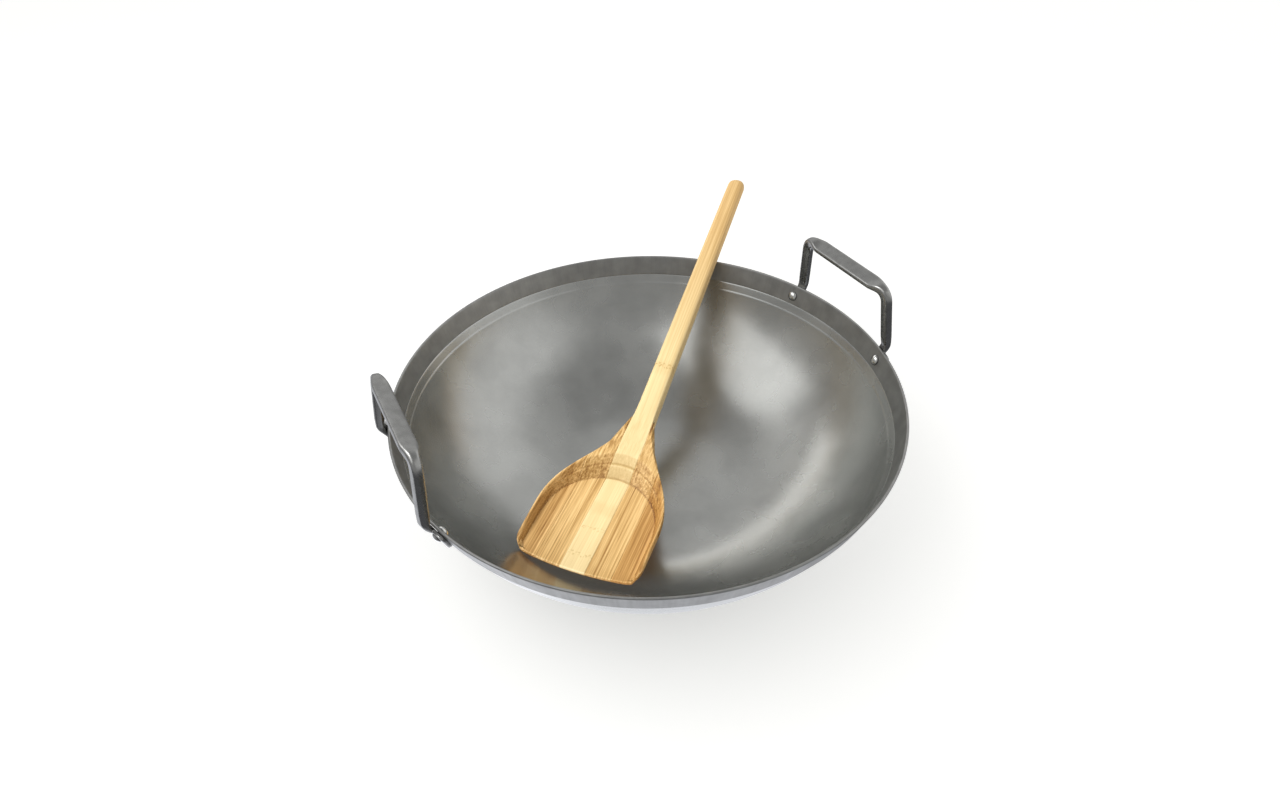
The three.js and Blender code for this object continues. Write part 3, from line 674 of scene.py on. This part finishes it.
class WOK_OT_handles(bpy.types.Operator):
    """Forged loop handles: flattened grip, bevelled arms and riveted feet"""
    bl_idname = "wok.handles"
    bl_label = "Loop handles"

    def execute(self, context):
        parts = context.scene.wok
        sizes = parts.bowl, parts.handle, parts.rivet
        shells = [skin(loop_rings(*sizes))] + [skin(foot_rings(*sizes, hand)) for hand in (-1, 1)]
        right = forge("handle_right_forged", shells)
        left = right.copy()
        left.name = "handle_left_forged"
        left.transform(Matrix.Rotation(math.pi, 4, "Z"))
        steel = tumbled_stainless(parts.handle)
        for mesh, node in ((right, "handle_right"), (left, "handle_left")):
            mesh.materials.clear()
            mesh.materials.append(steel)
            seat(new_object(mesh.name, mesh), "wok", "handle_steel", node)
        return {"FINISHED"}


# Rivets

HEAD_GAP = 0.05 * MM
GRIP_SLACK = 0.4 * MM
# Level of a ball of width one at which head and tail are cut off, a little past the widest one
DOME_CUT = -0.06


def rivet_tree(names, steel):
    """Geometry nodes: a domed head, shank and upset tail on each point, turned along its axis attribute."""
    tree = bpy.data.node_groups.new("rivet_row", "GeometryNodeTree")
    face = tree.interface
    face.new_socket("Geometry", in_out="INPUT", socket_type="NodeSocketGeometry")
    for name in names:
        face.new_socket(name, in_out="INPUT", socket_type="NodeSocketFloat")
    face.new_socket("Geometry", in_out="OUTPUT", socket_type="NodeSocketGeometry")
    given = add(tree, "NodeGroupInput").outputs
    shapes = []
    ends = ("Head diameter", "Dome height", None, -1), ("Tail diameter", "Tail height", "Grip", 1)
    for width, tall, lift, way in ends:
        # Half of a flattened ball
        sphere = {"Segments": 48, "Rings": 32, "Radius": 0.5}
        ball = add(tree, "GeometryNodeMeshUVSphere", sphere).outputs["Mesh"]
        place = add(tree, "GeometryNodeInputPosition").outputs[0]
        cut = {0: place, 1: (-1, -1, DOME_CUT)}
        cap = add(tree, "ShaderNodeVectorMath", cut, operation="MAXIMUM").outputs[0]
        high = maths(tree, "MULTIPLY", given[tall], 2.0 * way)
        size = combined(tree, given[width], given[width], high)
        dome = add(tree, "ShaderNodeVectorMath", {0: cap, 1: size}, operation="MULTIPLY").outputs[0]
        level = add(tree, "ShaderNodeSeparateXYZ", {0: place}).outputs["Z"]
        rise = {"Geometry": ball, "Name": "rise", "Value": maths(tree, "MULTIPLY", level, 2.0)}
        ball = add(tree, "GeometryNodeStoreNamedAttribute", rise).outputs[0]
        offset = combined(tree, z=given[lift] if lift else 0.0)
        moved = {"Geometry": ball, "Position": dome, "Offset": offset}
        shapes.append(add(tree, "GeometryNodeSetPosition", moved).outputs[0])
    radius, half = (maths(tree, "MULTIPLY", given[name], 0.5) for name in ("Shank diameter", "Grip"))
    cylinder = {"Vertices": 24, "Radius": radius, "Depth": given["Grip"]}
    bar = add(tree, "GeometryNodeMeshCylinder", cylinder).outputs["Mesh"]
    shank = {"Geometry": bar, "Translation": combined(tree, z=half)}
    shapes.append(add(tree, "GeometryNodeTransform", shank).outputs[0])
    whole = add(tree, "GeometryNodeJoinGeometry")
    for shape in shapes:
        tree.links.new(shape, whole.inputs[0])
    axis = add(tree, "GeometryNodeInputNamedAttribute", {"Name": "axis"}, data_type="FLOAT_VECTOR")
    aim = add(tree, "FunctionNodeAlignRotationToVector", {"Vector": axis.outputs["Attribute"]}, axis="Z")
    dots = add(tree, "GeometryNodeMeshToPoints", {"Mesh": given["Geometry"]}).outputs[0]
    row = {"Points": dots, "Instance": whole.outputs[0], "Rotation": aim.outputs[0]}
    rivets = add(tree, "GeometryNodeInstanceOnPoints", row).outputs[0]
    real = add(tree, "GeometryNodeRealizeInstances", {"Geometry": rivets}).outputs[0]
    smooth = add(tree, "GeometryNodeSetShadeSmooth", {"Geometry": real}).outputs[0]
    done = add(tree, "GeometryNodeSetMaterial", {"Geometry": smooth, "Material": steel}).outputs[0]
    add(tree, "NodeGroupOutput", {0: done})
    return tree


class WOK_OT_rivets(bpy.types.Operator):
    """Four rivets through bowl and feet"""
    bl_idname = "wok.rivets"
    bl_label = "Rivets"

    def execute(self, context):
        parts = context.scene.wok
        bowl, handle, rivet = parts.bowl, parts.handle, parts.rivet
        steel = headed_rivet_steel(rivet)
        seats, axes = [], []
        for azimuth in (rivet.turn, -rivet.turn, math.pi - rivet.turn, math.pi + rivet.turn):
            out = Vector((math.cos(azimuth), math.sin(azimuth), 0))
            axis = out * math.sin(bowl.band_slope) - Vector((0, 0, math.cos(bowl.band_slope)))
            middle = out * band_radius(bowl, rivet.drop) + Vector((0, 0, bowl.height - rivet.drop))
            seats.append(middle - axis * (bowl.sheet + HEAD_GAP))
            axes.append(axis)
        piece = new_piece("rivets_headed", seats, [], steel, {"axis": axes})
        sizes = {
            "Head diameter": rivet.head,
            "Dome height": rivet.dome,
            "Tail diameter": rivet.tail,
            "Tail height": rivet.tail_dome,
            "Shank diameter": rivet.shank,
            "Grip": bowl.sheet + handle.foot_thickness + GRIP_SLACK,
        }
        tree = rivet_tree(sizes, steel)
        modifier = piece.modifiers.new("Rivets", "NODES")
        modifier.node_group = tree
        for item in tree.interface.items_tree:
            if item.in_out == "INPUT" and item.name in sizes:
                modifier[item.identifier] = sizes[item.name]
        mesh = baked(piece)
        piece.modifiers.clear()
        piece.data = mesh
        nodes = [f"rivet_{side}_{end}" for side in ("right", "left") for end in ("front", "back")]
        seat(piece, "wok", "rivet_steel", *nodes)
        return {"FINISHED"}


# Spatula, in millimetres of its own frame: x from the front edge back, z up from the scoop's floor

FRONT_BEND = 260.0
FRONT_CORNER = 11.0
FRONT_EDGE = 2.4
FRONT_TAPER = 36.0
SIDE_END = 46.0
SHOULDER = (106.0, 31.0)
SHOULDER_SLOPE = math.radians(32)
SHOULDER_EASE = 25.0
NECK_EASE = 16.0
NECK = 165.0
NECK_TOP = 21.3
NECK_BLEND = 12.0
BEND_START = 120.0
LIP = 114.5
LIP_RUN = 22.0
WALL_FALL = 8.0
EDGE_ROUNDING = 1.1
HULL_ROUNDING = 8.0
END_ROUNDING = 8.0
BAR_SQUARENESS = 7.0
END_SQUARENESS = 2.4
# Middle of the scoop's back arch and its radius at the floor
POCKET = (45.0, 47.5)
# Height on the scoop's wall, and how far the wall has run out there at the back and at the sides
STEPS = ((0, 0, 0), (5.2, 10.5, 1.2), (5.6, 13.0, 1.5), (9.2, 22.0, 2.4))
# Heights on that wall where a line or band starts, is full, fades and ends
FOOT_LINE = (0.02, 0.15, 0.3, 0.9)
LEDGE = (5.35, 5.5, 5.7, 5.95)
BROW = (4.85, 5.05, 5.2, 5.35)
# Where the sanded edge, the cut front and the cut shoulders fade
ARRIS = (0.5, 1.6)
FRONT_TIP = (2.0, 12.0)
SHOULDER_CUT = (104.0, 114.0)
# Behind this place a strip's fibres are cut across, so their pattern is this many times shorter
CROSS_CUT_START = 108.0
CROSS_CUT = 5
# Points below this belong to the underside
UNDERSIDE = -1.0
GRID = 0.5
# Stands for a place that the scoop's cutter leaves alone
UNCUT = 99.0
STRIP_COLUMNS = 36
STRIP_ROWS = 190
# Centre stave: where the handle's taper and its blend with the blade start, where the rows have straightened
# out from the front's curve, and where the rounding of the front edge ends
BAR_START = NECK - 19
BAR_BLEND_START = 128.0
FRONT_STRAIGHT = 30.0
FRONT_ROUNDED = 12.0


class SpatulaForm:
    """Heights and outlines of the scooped blade and the handle."""

    def __init__(self, sizes):
        self.half = sizes.stave / MM * 2.5
        self.wall = sizes.wall / MM
        self.blade = sizes.blade / MM
        self.length = sizes.length / MM
        self.tilt = sizes.handle_rise
        self.slope = math.tan(self.tilt)
        self.thick = sizes.handle_thickness / MM
        self.neck_half = sizes.handle_width / MM / 2
        self.end_half = sizes.handle_end / MM / 2
        self.outline()
        self.scoop()

    def outline(self):
        """Half of the blade's outline in plan, from the front over the side to the neck."""
        turn = math.asin((self.half - FRONT_CORNER) / FRONT_BEND)
        t = np.linspace(0, turn, 60)
        front = np.stack([FRONT_BEND - FRONT_BEND * np.cos(t), FRONT_BEND * np.sin(t)], -1)
        x = front[-1, 0] + FRONT_CORNER * math.tan(turn)
        side_start, side_end = (x + FRONT_CORNER, self.half), (SIDE_END, self.half)
        corner = bezier([front[-1], (x, self.half), side_start], 40)
        run = np.array([math.cos(SHOULDER_SLOPE), -math.sin(SHOULDER_SLOPE)])
        shoulder = np.array(SHOULDER)
        eased = (SIDE_END + SHOULDER_EASE, self.half), shoulder - run * SHOULDER_EASE
        back = bezier([side_end, *eased, shoulder], 80)
        into = shoulder + run * NECK_EASE
        neck_end = (into[0] + NECK_EASE, self.neck_half), (NECK, self.neck_half)
        self.neck = bezier([shoulder, into, *neck_end], 80)
        self.front = np.concatenate([front, corner[1:]])
        self.back = np.concatenate([back, self.neck[1:]])
        self.edge = np.concatenate([self.front, np.linspace(side_start, side_end, 30)[1:], self.back[1:]])

    def front_x(self, y):
        return np.interp(np.abs(y), self.front[:, 1], self.front[:, 0])

    def back_x(self, y):
        return np.interp(np.abs(y), self.back[::-1, 1], self.back[::-1, 0])

    def from_edge(self, x, y):
        """Distance inwards from the outline in plan."""
        points = np.stack([np.ravel(x), np.abs(np.ravel(y))], -1)
        near = np.full(len(points), np.inf)
        for start, end in zip(self.edge[:-1:2], self.edge[2::2]):
            along = end - start
            share = np.clip((points - start) @ along / max(along @ along, 1e-9), 0, 1)
            near = np.minimum(near, np.linalg.norm(points - start - share[:, None] * along, axis=1))
        return near.reshape(np.shape(x))

    def handle_top(self, x):
        return NECK_TOP + (np.asarray(x, float) - NECK) * self.slope

    def scoop(self):
        """Top of the blade on a fine grid: the uncut envelope with the stepped scoop cut in, sanded round."""
        over = LIP + LIP_RUN
        rise = bezier([(LIP, self.wall), (over, self.handle_top(over)), (NECK, NECK_TOP)], 60)
        fall = bezier([(LIP, self.wall), (SIDE_END, self.wall), (WALL_FALL, self.wall), (0, 0)], 80)[::-1]
        top = np.concatenate([fall, rise[1:]])
        self.grid_x = np.arange(-3, NECK + NECK_BLEND, GRID)
        self.grid_y = np.arange(0, self.half + 3, GRID)
        x, y = np.meshgrid(self.grid_x, self.grid_y, indexing="ij")
        envelope = np.interp(x, top[:, 0], top[:, 1])
        heights, backs, sides = np.array(STEPS).T
        middle, radius = POCKET
        past = np.maximum(x - middle, 0)

        def outside(level):
            back = radius + np.interp(level, heights, backs)
            side = radius + np.interp(level, heights, sides)
            return (past / back) ** 2 + (y / side) ** 2 > 1

        # The wall's height at each place, found by halving
        low, high = np.zeros_like(x), np.full_like(x, self.wall)
        for _ in range(24):
            level = (low + high) / 2
            out = outside(level)
            low, high = np.where(out, level, low), np.where(out, high, level)
        uncut = outside(np.full_like(x, self.wall))
        height = np.minimum(envelope, np.where(uncut, UNCUT, low))
        weights = bell(4, 1.3)
        for axis, mode in enumerate(("edge", "reflect")):
            pads = [(4, 4) if a == axis else (0, 0) for a in (0, 1)]
            padded = np.pad(height, pads, mode=mode)
            count = height.shape[axis]
            height = sum(k * padded.take(range(i, i + count), axis) for i, k in enumerate(weights))
        self.top_grid = height
        self.cut_tone_and_painted_light_grid = self.cut_tone_and_painted_light_levels(height, envelope - height, x > middle)

    def cut_tone_and_painted_light_levels(self, height, depth, behind):
        """How dark the scoop's wall is, by height on it and depth of cut: partly the cut's own tone, partly
        painted shade that deepens towards the wall's foot, in a dark foot line and in the ledge's groove,
        with a paler band just under the ledge.
        """
        # Painted shade, growing towards the wall's foot
        wall = smoothstep(height, 0.2, 0.7) * smoothstep(depth, 0.1, 0.5) * (1.3 - 0.07 * height)
        foot = plateau(height, *FOOT_LINE)
        ledge, brow = (plateau(height, *band) * behind for band in (LEDGE, BROW))
        return wall + (1.9 * foot + 1.1 * ledge - 0.7 * brow) * smoothstep(depth, 0.3, 1.0)

    def sample(self, grid, x, y):
        u = np.clip((np.asarray(x, float) - self.grid_x[0]) / GRID, 0, len(self.grid_x) - 1.001)
        v = np.clip(np.abs(np.asarray(y, float)) / GRID, 0, len(self.grid_y) - 1.001)
        i, j = u.astype(int), v.astype(int)
        s, t = u - i, v - j
        return ((grid[i, j] * (1 - s) + grid[i + 1, j] * s) * (1 - t)
                + (grid[i, j + 1] * (1 - s) + grid[i + 1, j + 1] * s) * t)

    def top(self, x, y):
        return self.sample(self.top_grid, x, y)

    def routed(self, points, strip):
        """How far each point lies on the routed wall of the scoop, whose painted shade it carries, in its
        foot line or on a cut shoulder, and below nought on the sanded edge, which is paler, partly from
        sanding and partly as a painted highlight."""
        x, y, z = points.T
        upper = z > UNDERSIDE
        arris = (1 - smoothstep(self.from_edge(x, y), *ARRIS)) * (x < SHOULDER[0])
        tip = 0.35 * (1 - smoothstep(x - self.front_x(y), *FRONT_TIP)) * upper
        cut = strip * (0.6 * smoothstep(x, *SHOULDER_CUT) + tip)
        # Painted highlight: the sanded edge is lifted paler
        return self.sample(self.cut_tone_and_painted_light_grid, x, y) * upper + cut - 1.9 * arris

    def bottom(self, x):
        under = self.handle_top(NECK) - self.thick / math.cos(self.tilt)
        heel = NECK - (under + self.blade) / self.slope
        taper = bezier([(0, -FRONT_EDGE), (FRONT_TAPER / 2, -self.blade), (FRONT_TAPER, -self.blade)], 20)
        lift = bezier([(2 * heel - NECK, -self.blade), (heel, -self.blade), (NECK, under)], 40)
        line = np.concatenate([taper, lift])
        return np.interp(x, line[:, 0], line[:, 1])

    def rounded(self, x, y):
        """Top and bottom heights with the edges rounded over towards the outline."""
        top, bottom = self.top(x, y), self.bottom(x)
        inset = self.from_edge(x, y)
        soft = np.minimum(EDGE_ROUNDING, (top - bottom) * 0.4)
        over = np.maximum(soft - inset, 0)
        top = top - soft + np.sqrt(np.maximum(soft ** 2 - over ** 2, 0))
        hull = np.minimum(HULL_ROUNDING, np.maximum(top - bottom - soft, 0.1))
        under = np.maximum(hull - inset, 0)
        return top, bottom + hull - np.sqrt(np.maximum(hull ** 2 - under ** 2, 0))

    def grain(self, points, strip):
        """Fibre coordinates, with the bend of neck and handle straightened and the shoulders cut across."""
        x, y, z = points.T
        bend = NECK - BEND_START
        ramp = np.maximum(x - BEND_START, 0)
        lift = np.where(x < NECK, ramp ** 2 / (2 * bend), bend / 2 + x - NECK) * self.slope
        cut = CROSS_CUT * np.maximum(x - CROSS_CUT_START, 0) * strip
        return np.column_stack([x + cut, y, z - lift]) * MM


def lay(sizes, points):
    """Points of the spatula's own frame, placed in the bowl, in metres."""
    turned = Matrix.Rotation(sizes.azimuth, 3, "Z") @ Matrix.Rotation(-sizes.pitch, 3, "Y")
    along = np.array([math.cos(sizes.azimuth), math.sin(sizes.azimuth)])
    aside = np.array([-along[1], along[0]])
    tip = aside * sizes.offset - along * sizes.reach
    return points * MM @ np.array(turned).T + (*tip, sizes.seat)


def blade_strip(form, near, far, sign):
    """Closed skin of a blade stave between two distances from the middle line, on one side of it."""
    across = np.linspace(0, 1, STRIP_COLUMNS)
    if far == form.half:
        across = np.sin(across * math.pi / 2)
    # Rows lie closer together towards both ends
    t = np.linspace(0, 1, STRIP_ROWS)
    along = 0.35 * t + 0.65 * (0.5 - 0.5 * np.cos(math.pi * t))
    y = np.tile(near + (far - near) * across, (len(t), 1))
    x = form.front_x(y) + (form.back_x(y) - form.front_x(y)) * along[:, None]
    top, bottom = form.rounded(x, y)
    rings = []
    for i in range(len(t)):
        upper = np.stack([x[i], sign * y[i], top[i]], -1)
        lower = np.stack([x[i], sign * y[i], bottom[i]], -1)[::-1]
        sides = [np.linspace(a, b, 5)[1:-1] for a, b in ((upper[-1], lower[0]), (lower[-1], upper[0]))]
        rings.append(np.concatenate([upper, sides[0], lower, sides[1]]))
    return skin(rings)


def unit_square(wide, tall):
    """Points round a square of half width one, clockwise from its top left."""
    top = np.stack([np.linspace(-1, 1, wide + 1), np.ones(wide + 1)], -1)[:-1]
    right = np.stack([np.ones(tall + 1), np.linspace(1, -1, tall + 1)], -1)[:-1]
    return np.concatenate([top, right, -top, -right])


def centre_stave(form, half):
    """Closed skin of the stave that runs through the blade and on as the handle."""
    a, b = unit_square(24, 12).T
    end = form.length - END_ROUNDING
    # Rows lie close together at the rounded front edge
    stations = np.concatenate([
        [0, 0.06, 0.2, 0.4, 0.7, 1, 1.4, 2],
        np.linspace(3, NECK + 20, 240),
        np.linspace(NECK + 24, end, 60),
    ])
    turns = np.radians(np.linspace(0, 88, 16))[1:]
    shapes = [(x, 1.0) for x in stations]
    shapes += [(end + END_ROUNDING * math.sin(t), math.cos(t)) for t in turns]
    rings = []
    for x, shrink in shapes:
        # The bar grows rounder and narrower towards its end
        share = float(np.clip((x - BAR_START) / (form.length - BAR_START), 0, 1))
        power = BAR_SQUARENESS + (END_SQUARENESS - BAR_SQUARENESS) * math.sqrt(share)
        scale = shrink / (np.abs(a) ** power + np.abs(b) ** power) ** (1 / power)
        wide = (form.neck_half + (form.end_half - form.neck_half) * share) * a * scale
        rise = form.thick / 2 * b * scale
        middle = form.handle_top(x) - form.thick / math.cos(form.tilt) / 2
        bar = np.stack([x - math.sin(form.tilt) * rise, wide, middle + math.cos(form.tilt) * rise], -1)
        mix = float(smoothstep(x, BAR_BLEND_START, NECK + NECK_BLEND))
        if mix < 1:
            outline = np.interp(x, *form.neck.T) if x > BEND_START else half
            y = min(half, max(outline, form.neck_half)) * a
            flat_x = x + form.front_x(y) * max(1 - x / FRONT_STRAIGHT, 0)
            top, bottom = form.top(flat_x, y), form.bottom(flat_x)
            if x < FRONT_ROUNDED:
                top, bottom = form.rounded(flat_x, y)
            flat = np.stack([flat_x, y, bottom + (top - bottom) * (b + 1) / 2], -1)
            bar = flat * (1 - mix) + bar * mix
        rings.append(bar)
    return skin(rings)


class WOK_OT_spatula(bpy.types.Operator):
    """Laminated bamboo spatula: five glued staves cut to a scooped blade and a handle"""
    bl_idname = "wok.spatula"
    bl_label = "Spatula"

    def execute(self, context):
        sizes = context.scene.wok.spatula
        form = SpatulaForm(sizes)
        # Place and half width in metres, depth, and how far each knot is broken into dashes
        knots = (
            (0.015, 0.002, 0.22, 1),
            (0.041, 0.002, 0.2, 1),
            (0.061, 0.008, 0.08, 0),
            (0.203, 0.009, 0.09, 0.3),
            (0.205, 0.0028, 0.3, 0.8),
        )
        pale = sanded_bamboo("pale_bamboo", sizes.pale, sizes.warm, 0.085, 0.06, knots)
        amber = sanded_bamboo("amber_bamboo", sizes.amber, sizes.amber, 0.44, 0.22)
        edges = {
            "left": sanded_bamboo("honey_bamboo", sizes.honey, sizes.honey, 0.4, 0.26),
            "right": sanded_bamboo("brown_bamboo", sizes.brown, sizes.brown, 0.44, 0.26),
        }
        stave, gap = sizes.stave / MM, sizes.glue / MM / 2
        middle = centre_stave(form, stave / 2 - gap)
        staves = {"stave_centre": (middle, pale, "pale_bamboo", "spatula_centre_stave")}
        for side, sign in (("left", 1), ("right", -1)):
            strip = blade_strip(form, stave / 2 + gap, stave * 1.5 - gap, sign)
            edge = blade_strip(form, stave * 1.5 + gap, form.half, sign)
            staves[f"strip_{side}"] = strip, amber, "amber_bamboo", f"spatula_{side}_strip"
            staves[f"edge_{side}"] = edge, edges[side], "dark_bamboo", f"spatula_{side}_edge"
        for name, ((points, faces), material, slot, node) in staves.items():
            strip = slot != "pale_bamboo"
            patterns = {"grain": form.grain(points, strip), "routed": form.routed(points, strip)}
            piece = new_piece(name, lay(sizes, points), faces, material, patterns)
            seat(piece, "spatula", slot, node)
        return {"FINISHED"}


# Stage

SENSOR_MM = 36
PHOTO_WIDTH_PIXELS = 1280
FOCAL_PIXELS = 775.3
AIM_ABOVE_RIM = 0.3 * MM
FLOOR_RADIUS = 12
FLOOR_GLOW = 0.5
WOOD = ("stave_", "strip_", "edge_")
METAL = ("handle_right_f", "handle_left_f", "rivets_")
# Turn and height in degrees seen from the bowl, distance, width, height and radiance of each soft box
BOXES = {
    "left_box": (-105, 53, 1.3, 1.65, 1.05, 1.15),
    "low_panel": (-22, 22, 1.6, 1.25, 0.26, 2.7),
    "spatula_key": (-95, 52, 1.2, 0.4, 0.4, 19.0),
    "handle_spark": (-95, 52, 1.2, 0.42, 0.42, 6.0),
    "steel_bounce": (190, -25, 0.8, 0.6, 0.4, 3.0),
}
# Some boxes are flagged to what they light, as a photographer masks a bowl from a hard lamp
LIT = {
    "low_panel": (*WOOD, "bowl_", "rivets_"),
    "spatula_key": WOOD,
    "handle_spark": METAL,
    "steel_bounce": WOOD,
}
BOUNCE_TINT = "#ffd8ae"
TABLE_TINT = "#f6f8ff"
# Pale walls of the room: turn and height of the middle, full and faded spread in degrees, radiance
WALLS = ((76, 27, 32, 60, 0.56), (-22, 40, 14, 46, 0.3), (-58, -40, 14, 40, 0.9))


def toward(view, turn, rise):
    """Unit vector at a turn and a height in degrees, seen from the bowl."""
    turn, rise = math.radians(turn), math.radians(rise)
    return view @ Vector((math.sin(turn) * math.cos(rise), math.cos(turn) * math.cos(rise), math.sin(rise)))


class WOK_OT_stage(bpy.types.Operator):
    """Pale studio floor, soft lights and the camera"""
    bl_idname = "wok.stage"
    bl_label = "Stage"

    def execute(self, context):
        stage, bowl = context.scene.wok.stage, context.scene.wok.bowl
        view = Matrix.Rotation(stage.turn, 3, "Z")
        self.camera(context, stage, bowl.height + AIM_ABOVE_RIM)
        self.floor(stage)
        self.lamps(context, view, bowl.height)
        self.room(context, view)
        context.scene.view_settings.view_transform = "Standard"
        return {"FINISHED"}

    def camera(self, context, stage, height):
        lens = bpy.data.cameras.new("studio_camera")
        lens.sensor_fit = "HORIZONTAL"
        lens.sensor_width = SENSOR_MM
        lens.lens = SENSOR_MM * FOCAL_PIXELS / PHOTO_WIDTH_PIXELS
        lens.clip_start = 0.01
        camera = new_object("studio_camera", lens)
        turn = Matrix.Rotation(stage.turn, 4, "Z")
        tilt = Matrix.Rotation(math.pi / 2 - stage.elevation, 4, "X")
        back = Matrix.Translation((stage.aside, stage.above, stage.distance))
        roll = Matrix.Rotation(stage.roll, 4, "Z")
        camera.matrix_world = Matrix.Translation((0, 0, height)) @ turn @ tilt @ back @ roll
        context.scene.camera = camera

    def floor(self, stage):
        # Lit from below like a light table, so that it stays white round the wok
        paint = stage.floor[:]
        glow = {"Base Color": paint, "Emission Color": paint, "Emission Strength": FLOOR_GLOW}
        material, tree, shader = new_material("pale_studio_floor", glow)
        place = add(tree, "ShaderNodeTexCoord").outputs["Object"]
        # Painted board, with a faint roll of about 30 mm in the paint
        gloss = remap(tree, noise(tree, place, 30 * MM), 0.0, 1.0, 0.75, 0.85)
        tree.links.new(gloss, shader.inputs["Roughness"])
        work = bmesh.new()
        bmesh.ops.create_circle(work, cap_ends=True, segments=96, radius=FLOOR_RADIUS)
        mesh = bpy.data.meshes.new("studio_floor")
        work.to_mesh(mesh)
        work.free()
        mesh.materials.append(material)
        floor = new_object("studio_floor", mesh)
        floor.visible_glossy = False

    def lamps(self, context, view, height):
        middle = Vector((0, 0, height))
        for name, (turn, rise, distance, wide, tall, radiance) in BOXES.items():
            aim = toward(view, turn, rise)
            lamp = bpy.data.lights.new(name, "AREA")
            lamp.shape = "RECTANGLE"
            lamp.size = wide
            lamp.size_y = tall
            lamp.energy = radiance * math.pi * wide * tall
            box = new_object(name, lamp)
            turned = aim.to_track_quat("Z", "Y").to_matrix().to_4x4()
            box.matrix_world = Matrix.Translation(middle + aim * distance) @ turned
            if name not in LIT:
                continue
            group = bpy.data.collections.new(f"lit_by_{name}")
            for piece in context.scene.objects:
                if piece.name.startswith(LIT[name]):
                    group.objects.link(piece)
            box.light_linking.receiver_collection = group
            # Stands for light that wood and bowl throw to each other, so it is warm and the bowl lets it by
            if name == "steel_bounce":
                box.light_linking.blocker_collection = group
                lamp.color = linear(BOUNCE_TINT)[:3]

    def room(self, context, view):
        world = bpy.data.worlds.new("studio_room")
        world.use_nodes = True
        tree = world.node_tree
        tree.nodes.clear()
        way = add(tree, "ShaderNodeTexCoord").outputs["Generated"]
        rise = add(tree, "ShaderNodeSeparateXYZ", {0: way}).outputs["Z"]
        # Ranges are sines of the height. Below: a white table straight down and the dark room beyond it,
        # which the steel mirrors
        edge = remap(tree, rise, -0.25, -0.05)
        table = remap(tree, rise, -0.72, -0.9, 0.16, 1.2)
        glow = between(tree, edge, table, remap(tree, rise, 0.72, 0.9, 0.46, 0.4))
        # The upper walls end at the table's edge and below the ceiling
        level = maths(tree, "MULTIPLY", remap(tree, rise, 0.7, 0.87, 1.0, 0.0), edge)
        for turn, height, full, faded, radiance in WALLS:
            aim = toward(view, turn, height)
            near = add(tree, "ShaderNodeVectorMath", {0: way, 1: aim}, operation="DOT_PRODUCT")
            ends = [math.cos(math.radians(width)) for width in (faded, full)]
            ends += [0.0, radiance]
            wall = remap(tree, near.outputs["Value"], *ends, interpolation_type="SMOOTHSTEP")
            mask = level if height > 0 else 1.0
            glow = maths(tree, "MULTIPLY_ADD", wall, mask, glow)
        tint = blend(tree, edge, linear(TABLE_TINT), linear("#ffffff"))
        room = add(tree, "ShaderNodeBackground", {"Color": tint, "Strength": glow})
        add(tree, "ShaderNodeOutputWorld", {"Surface": room.outputs[0]})
        context.scene.world = world


class WOK_PT_parts(bpy.types.Panel):
    """Sizes, colours and makers of the wok's pieces"""
    bl_idname = "WOK_PT_parts"
    bl_label = "Grill wok"
    bl_space_type = "VIEW_3D"
    bl_region_type = "UI"
    bl_category = "Wok"

    def draw(self, context):
        parts = context.scene.wok
        for name in ("bowl", "handle", "rivet", "spatula", "stage"):
            group = getattr(parts, name)
            box = self.layout.box()
            box.label(text=name.capitalize())
            for key in group.__annotations__:
                box.prop(group, key)
        for operator in MAKERS:
            self.layout.operator(operator.bl_idname)


GROUPS = (BowlSizes, HandleSizes, RivetSizes, SpatulaSizes, StageSizes, WokParts)
MAKERS = (WOK_OT_bowl, WOK_OT_handles, WOK_OT_rivets, WOK_OT_spatula, WOK_OT_stage)


def register():
    for part in GROUPS + MAKERS + (WOK_PT_parts,):
        bpy.utils.register_class(part)
    bpy.types.Scene.wok = PointerProperty(type=WokParts)


def unregister():
    del bpy.types.Scene.wok
    for part in reversed(GROUPS + MAKERS + (WOK_PT_parts,)):
        bpy.utils.unregister_class(part)


def main():
    register()
    bpy.ops.wok.bowl()
    bpy.ops.wok.handles()
    bpy.ops.wok.rivets()
    bpy.ops.wok.spatula()
    bpy.ops.wok.stage()


if __name__ == "__main__":
    main()
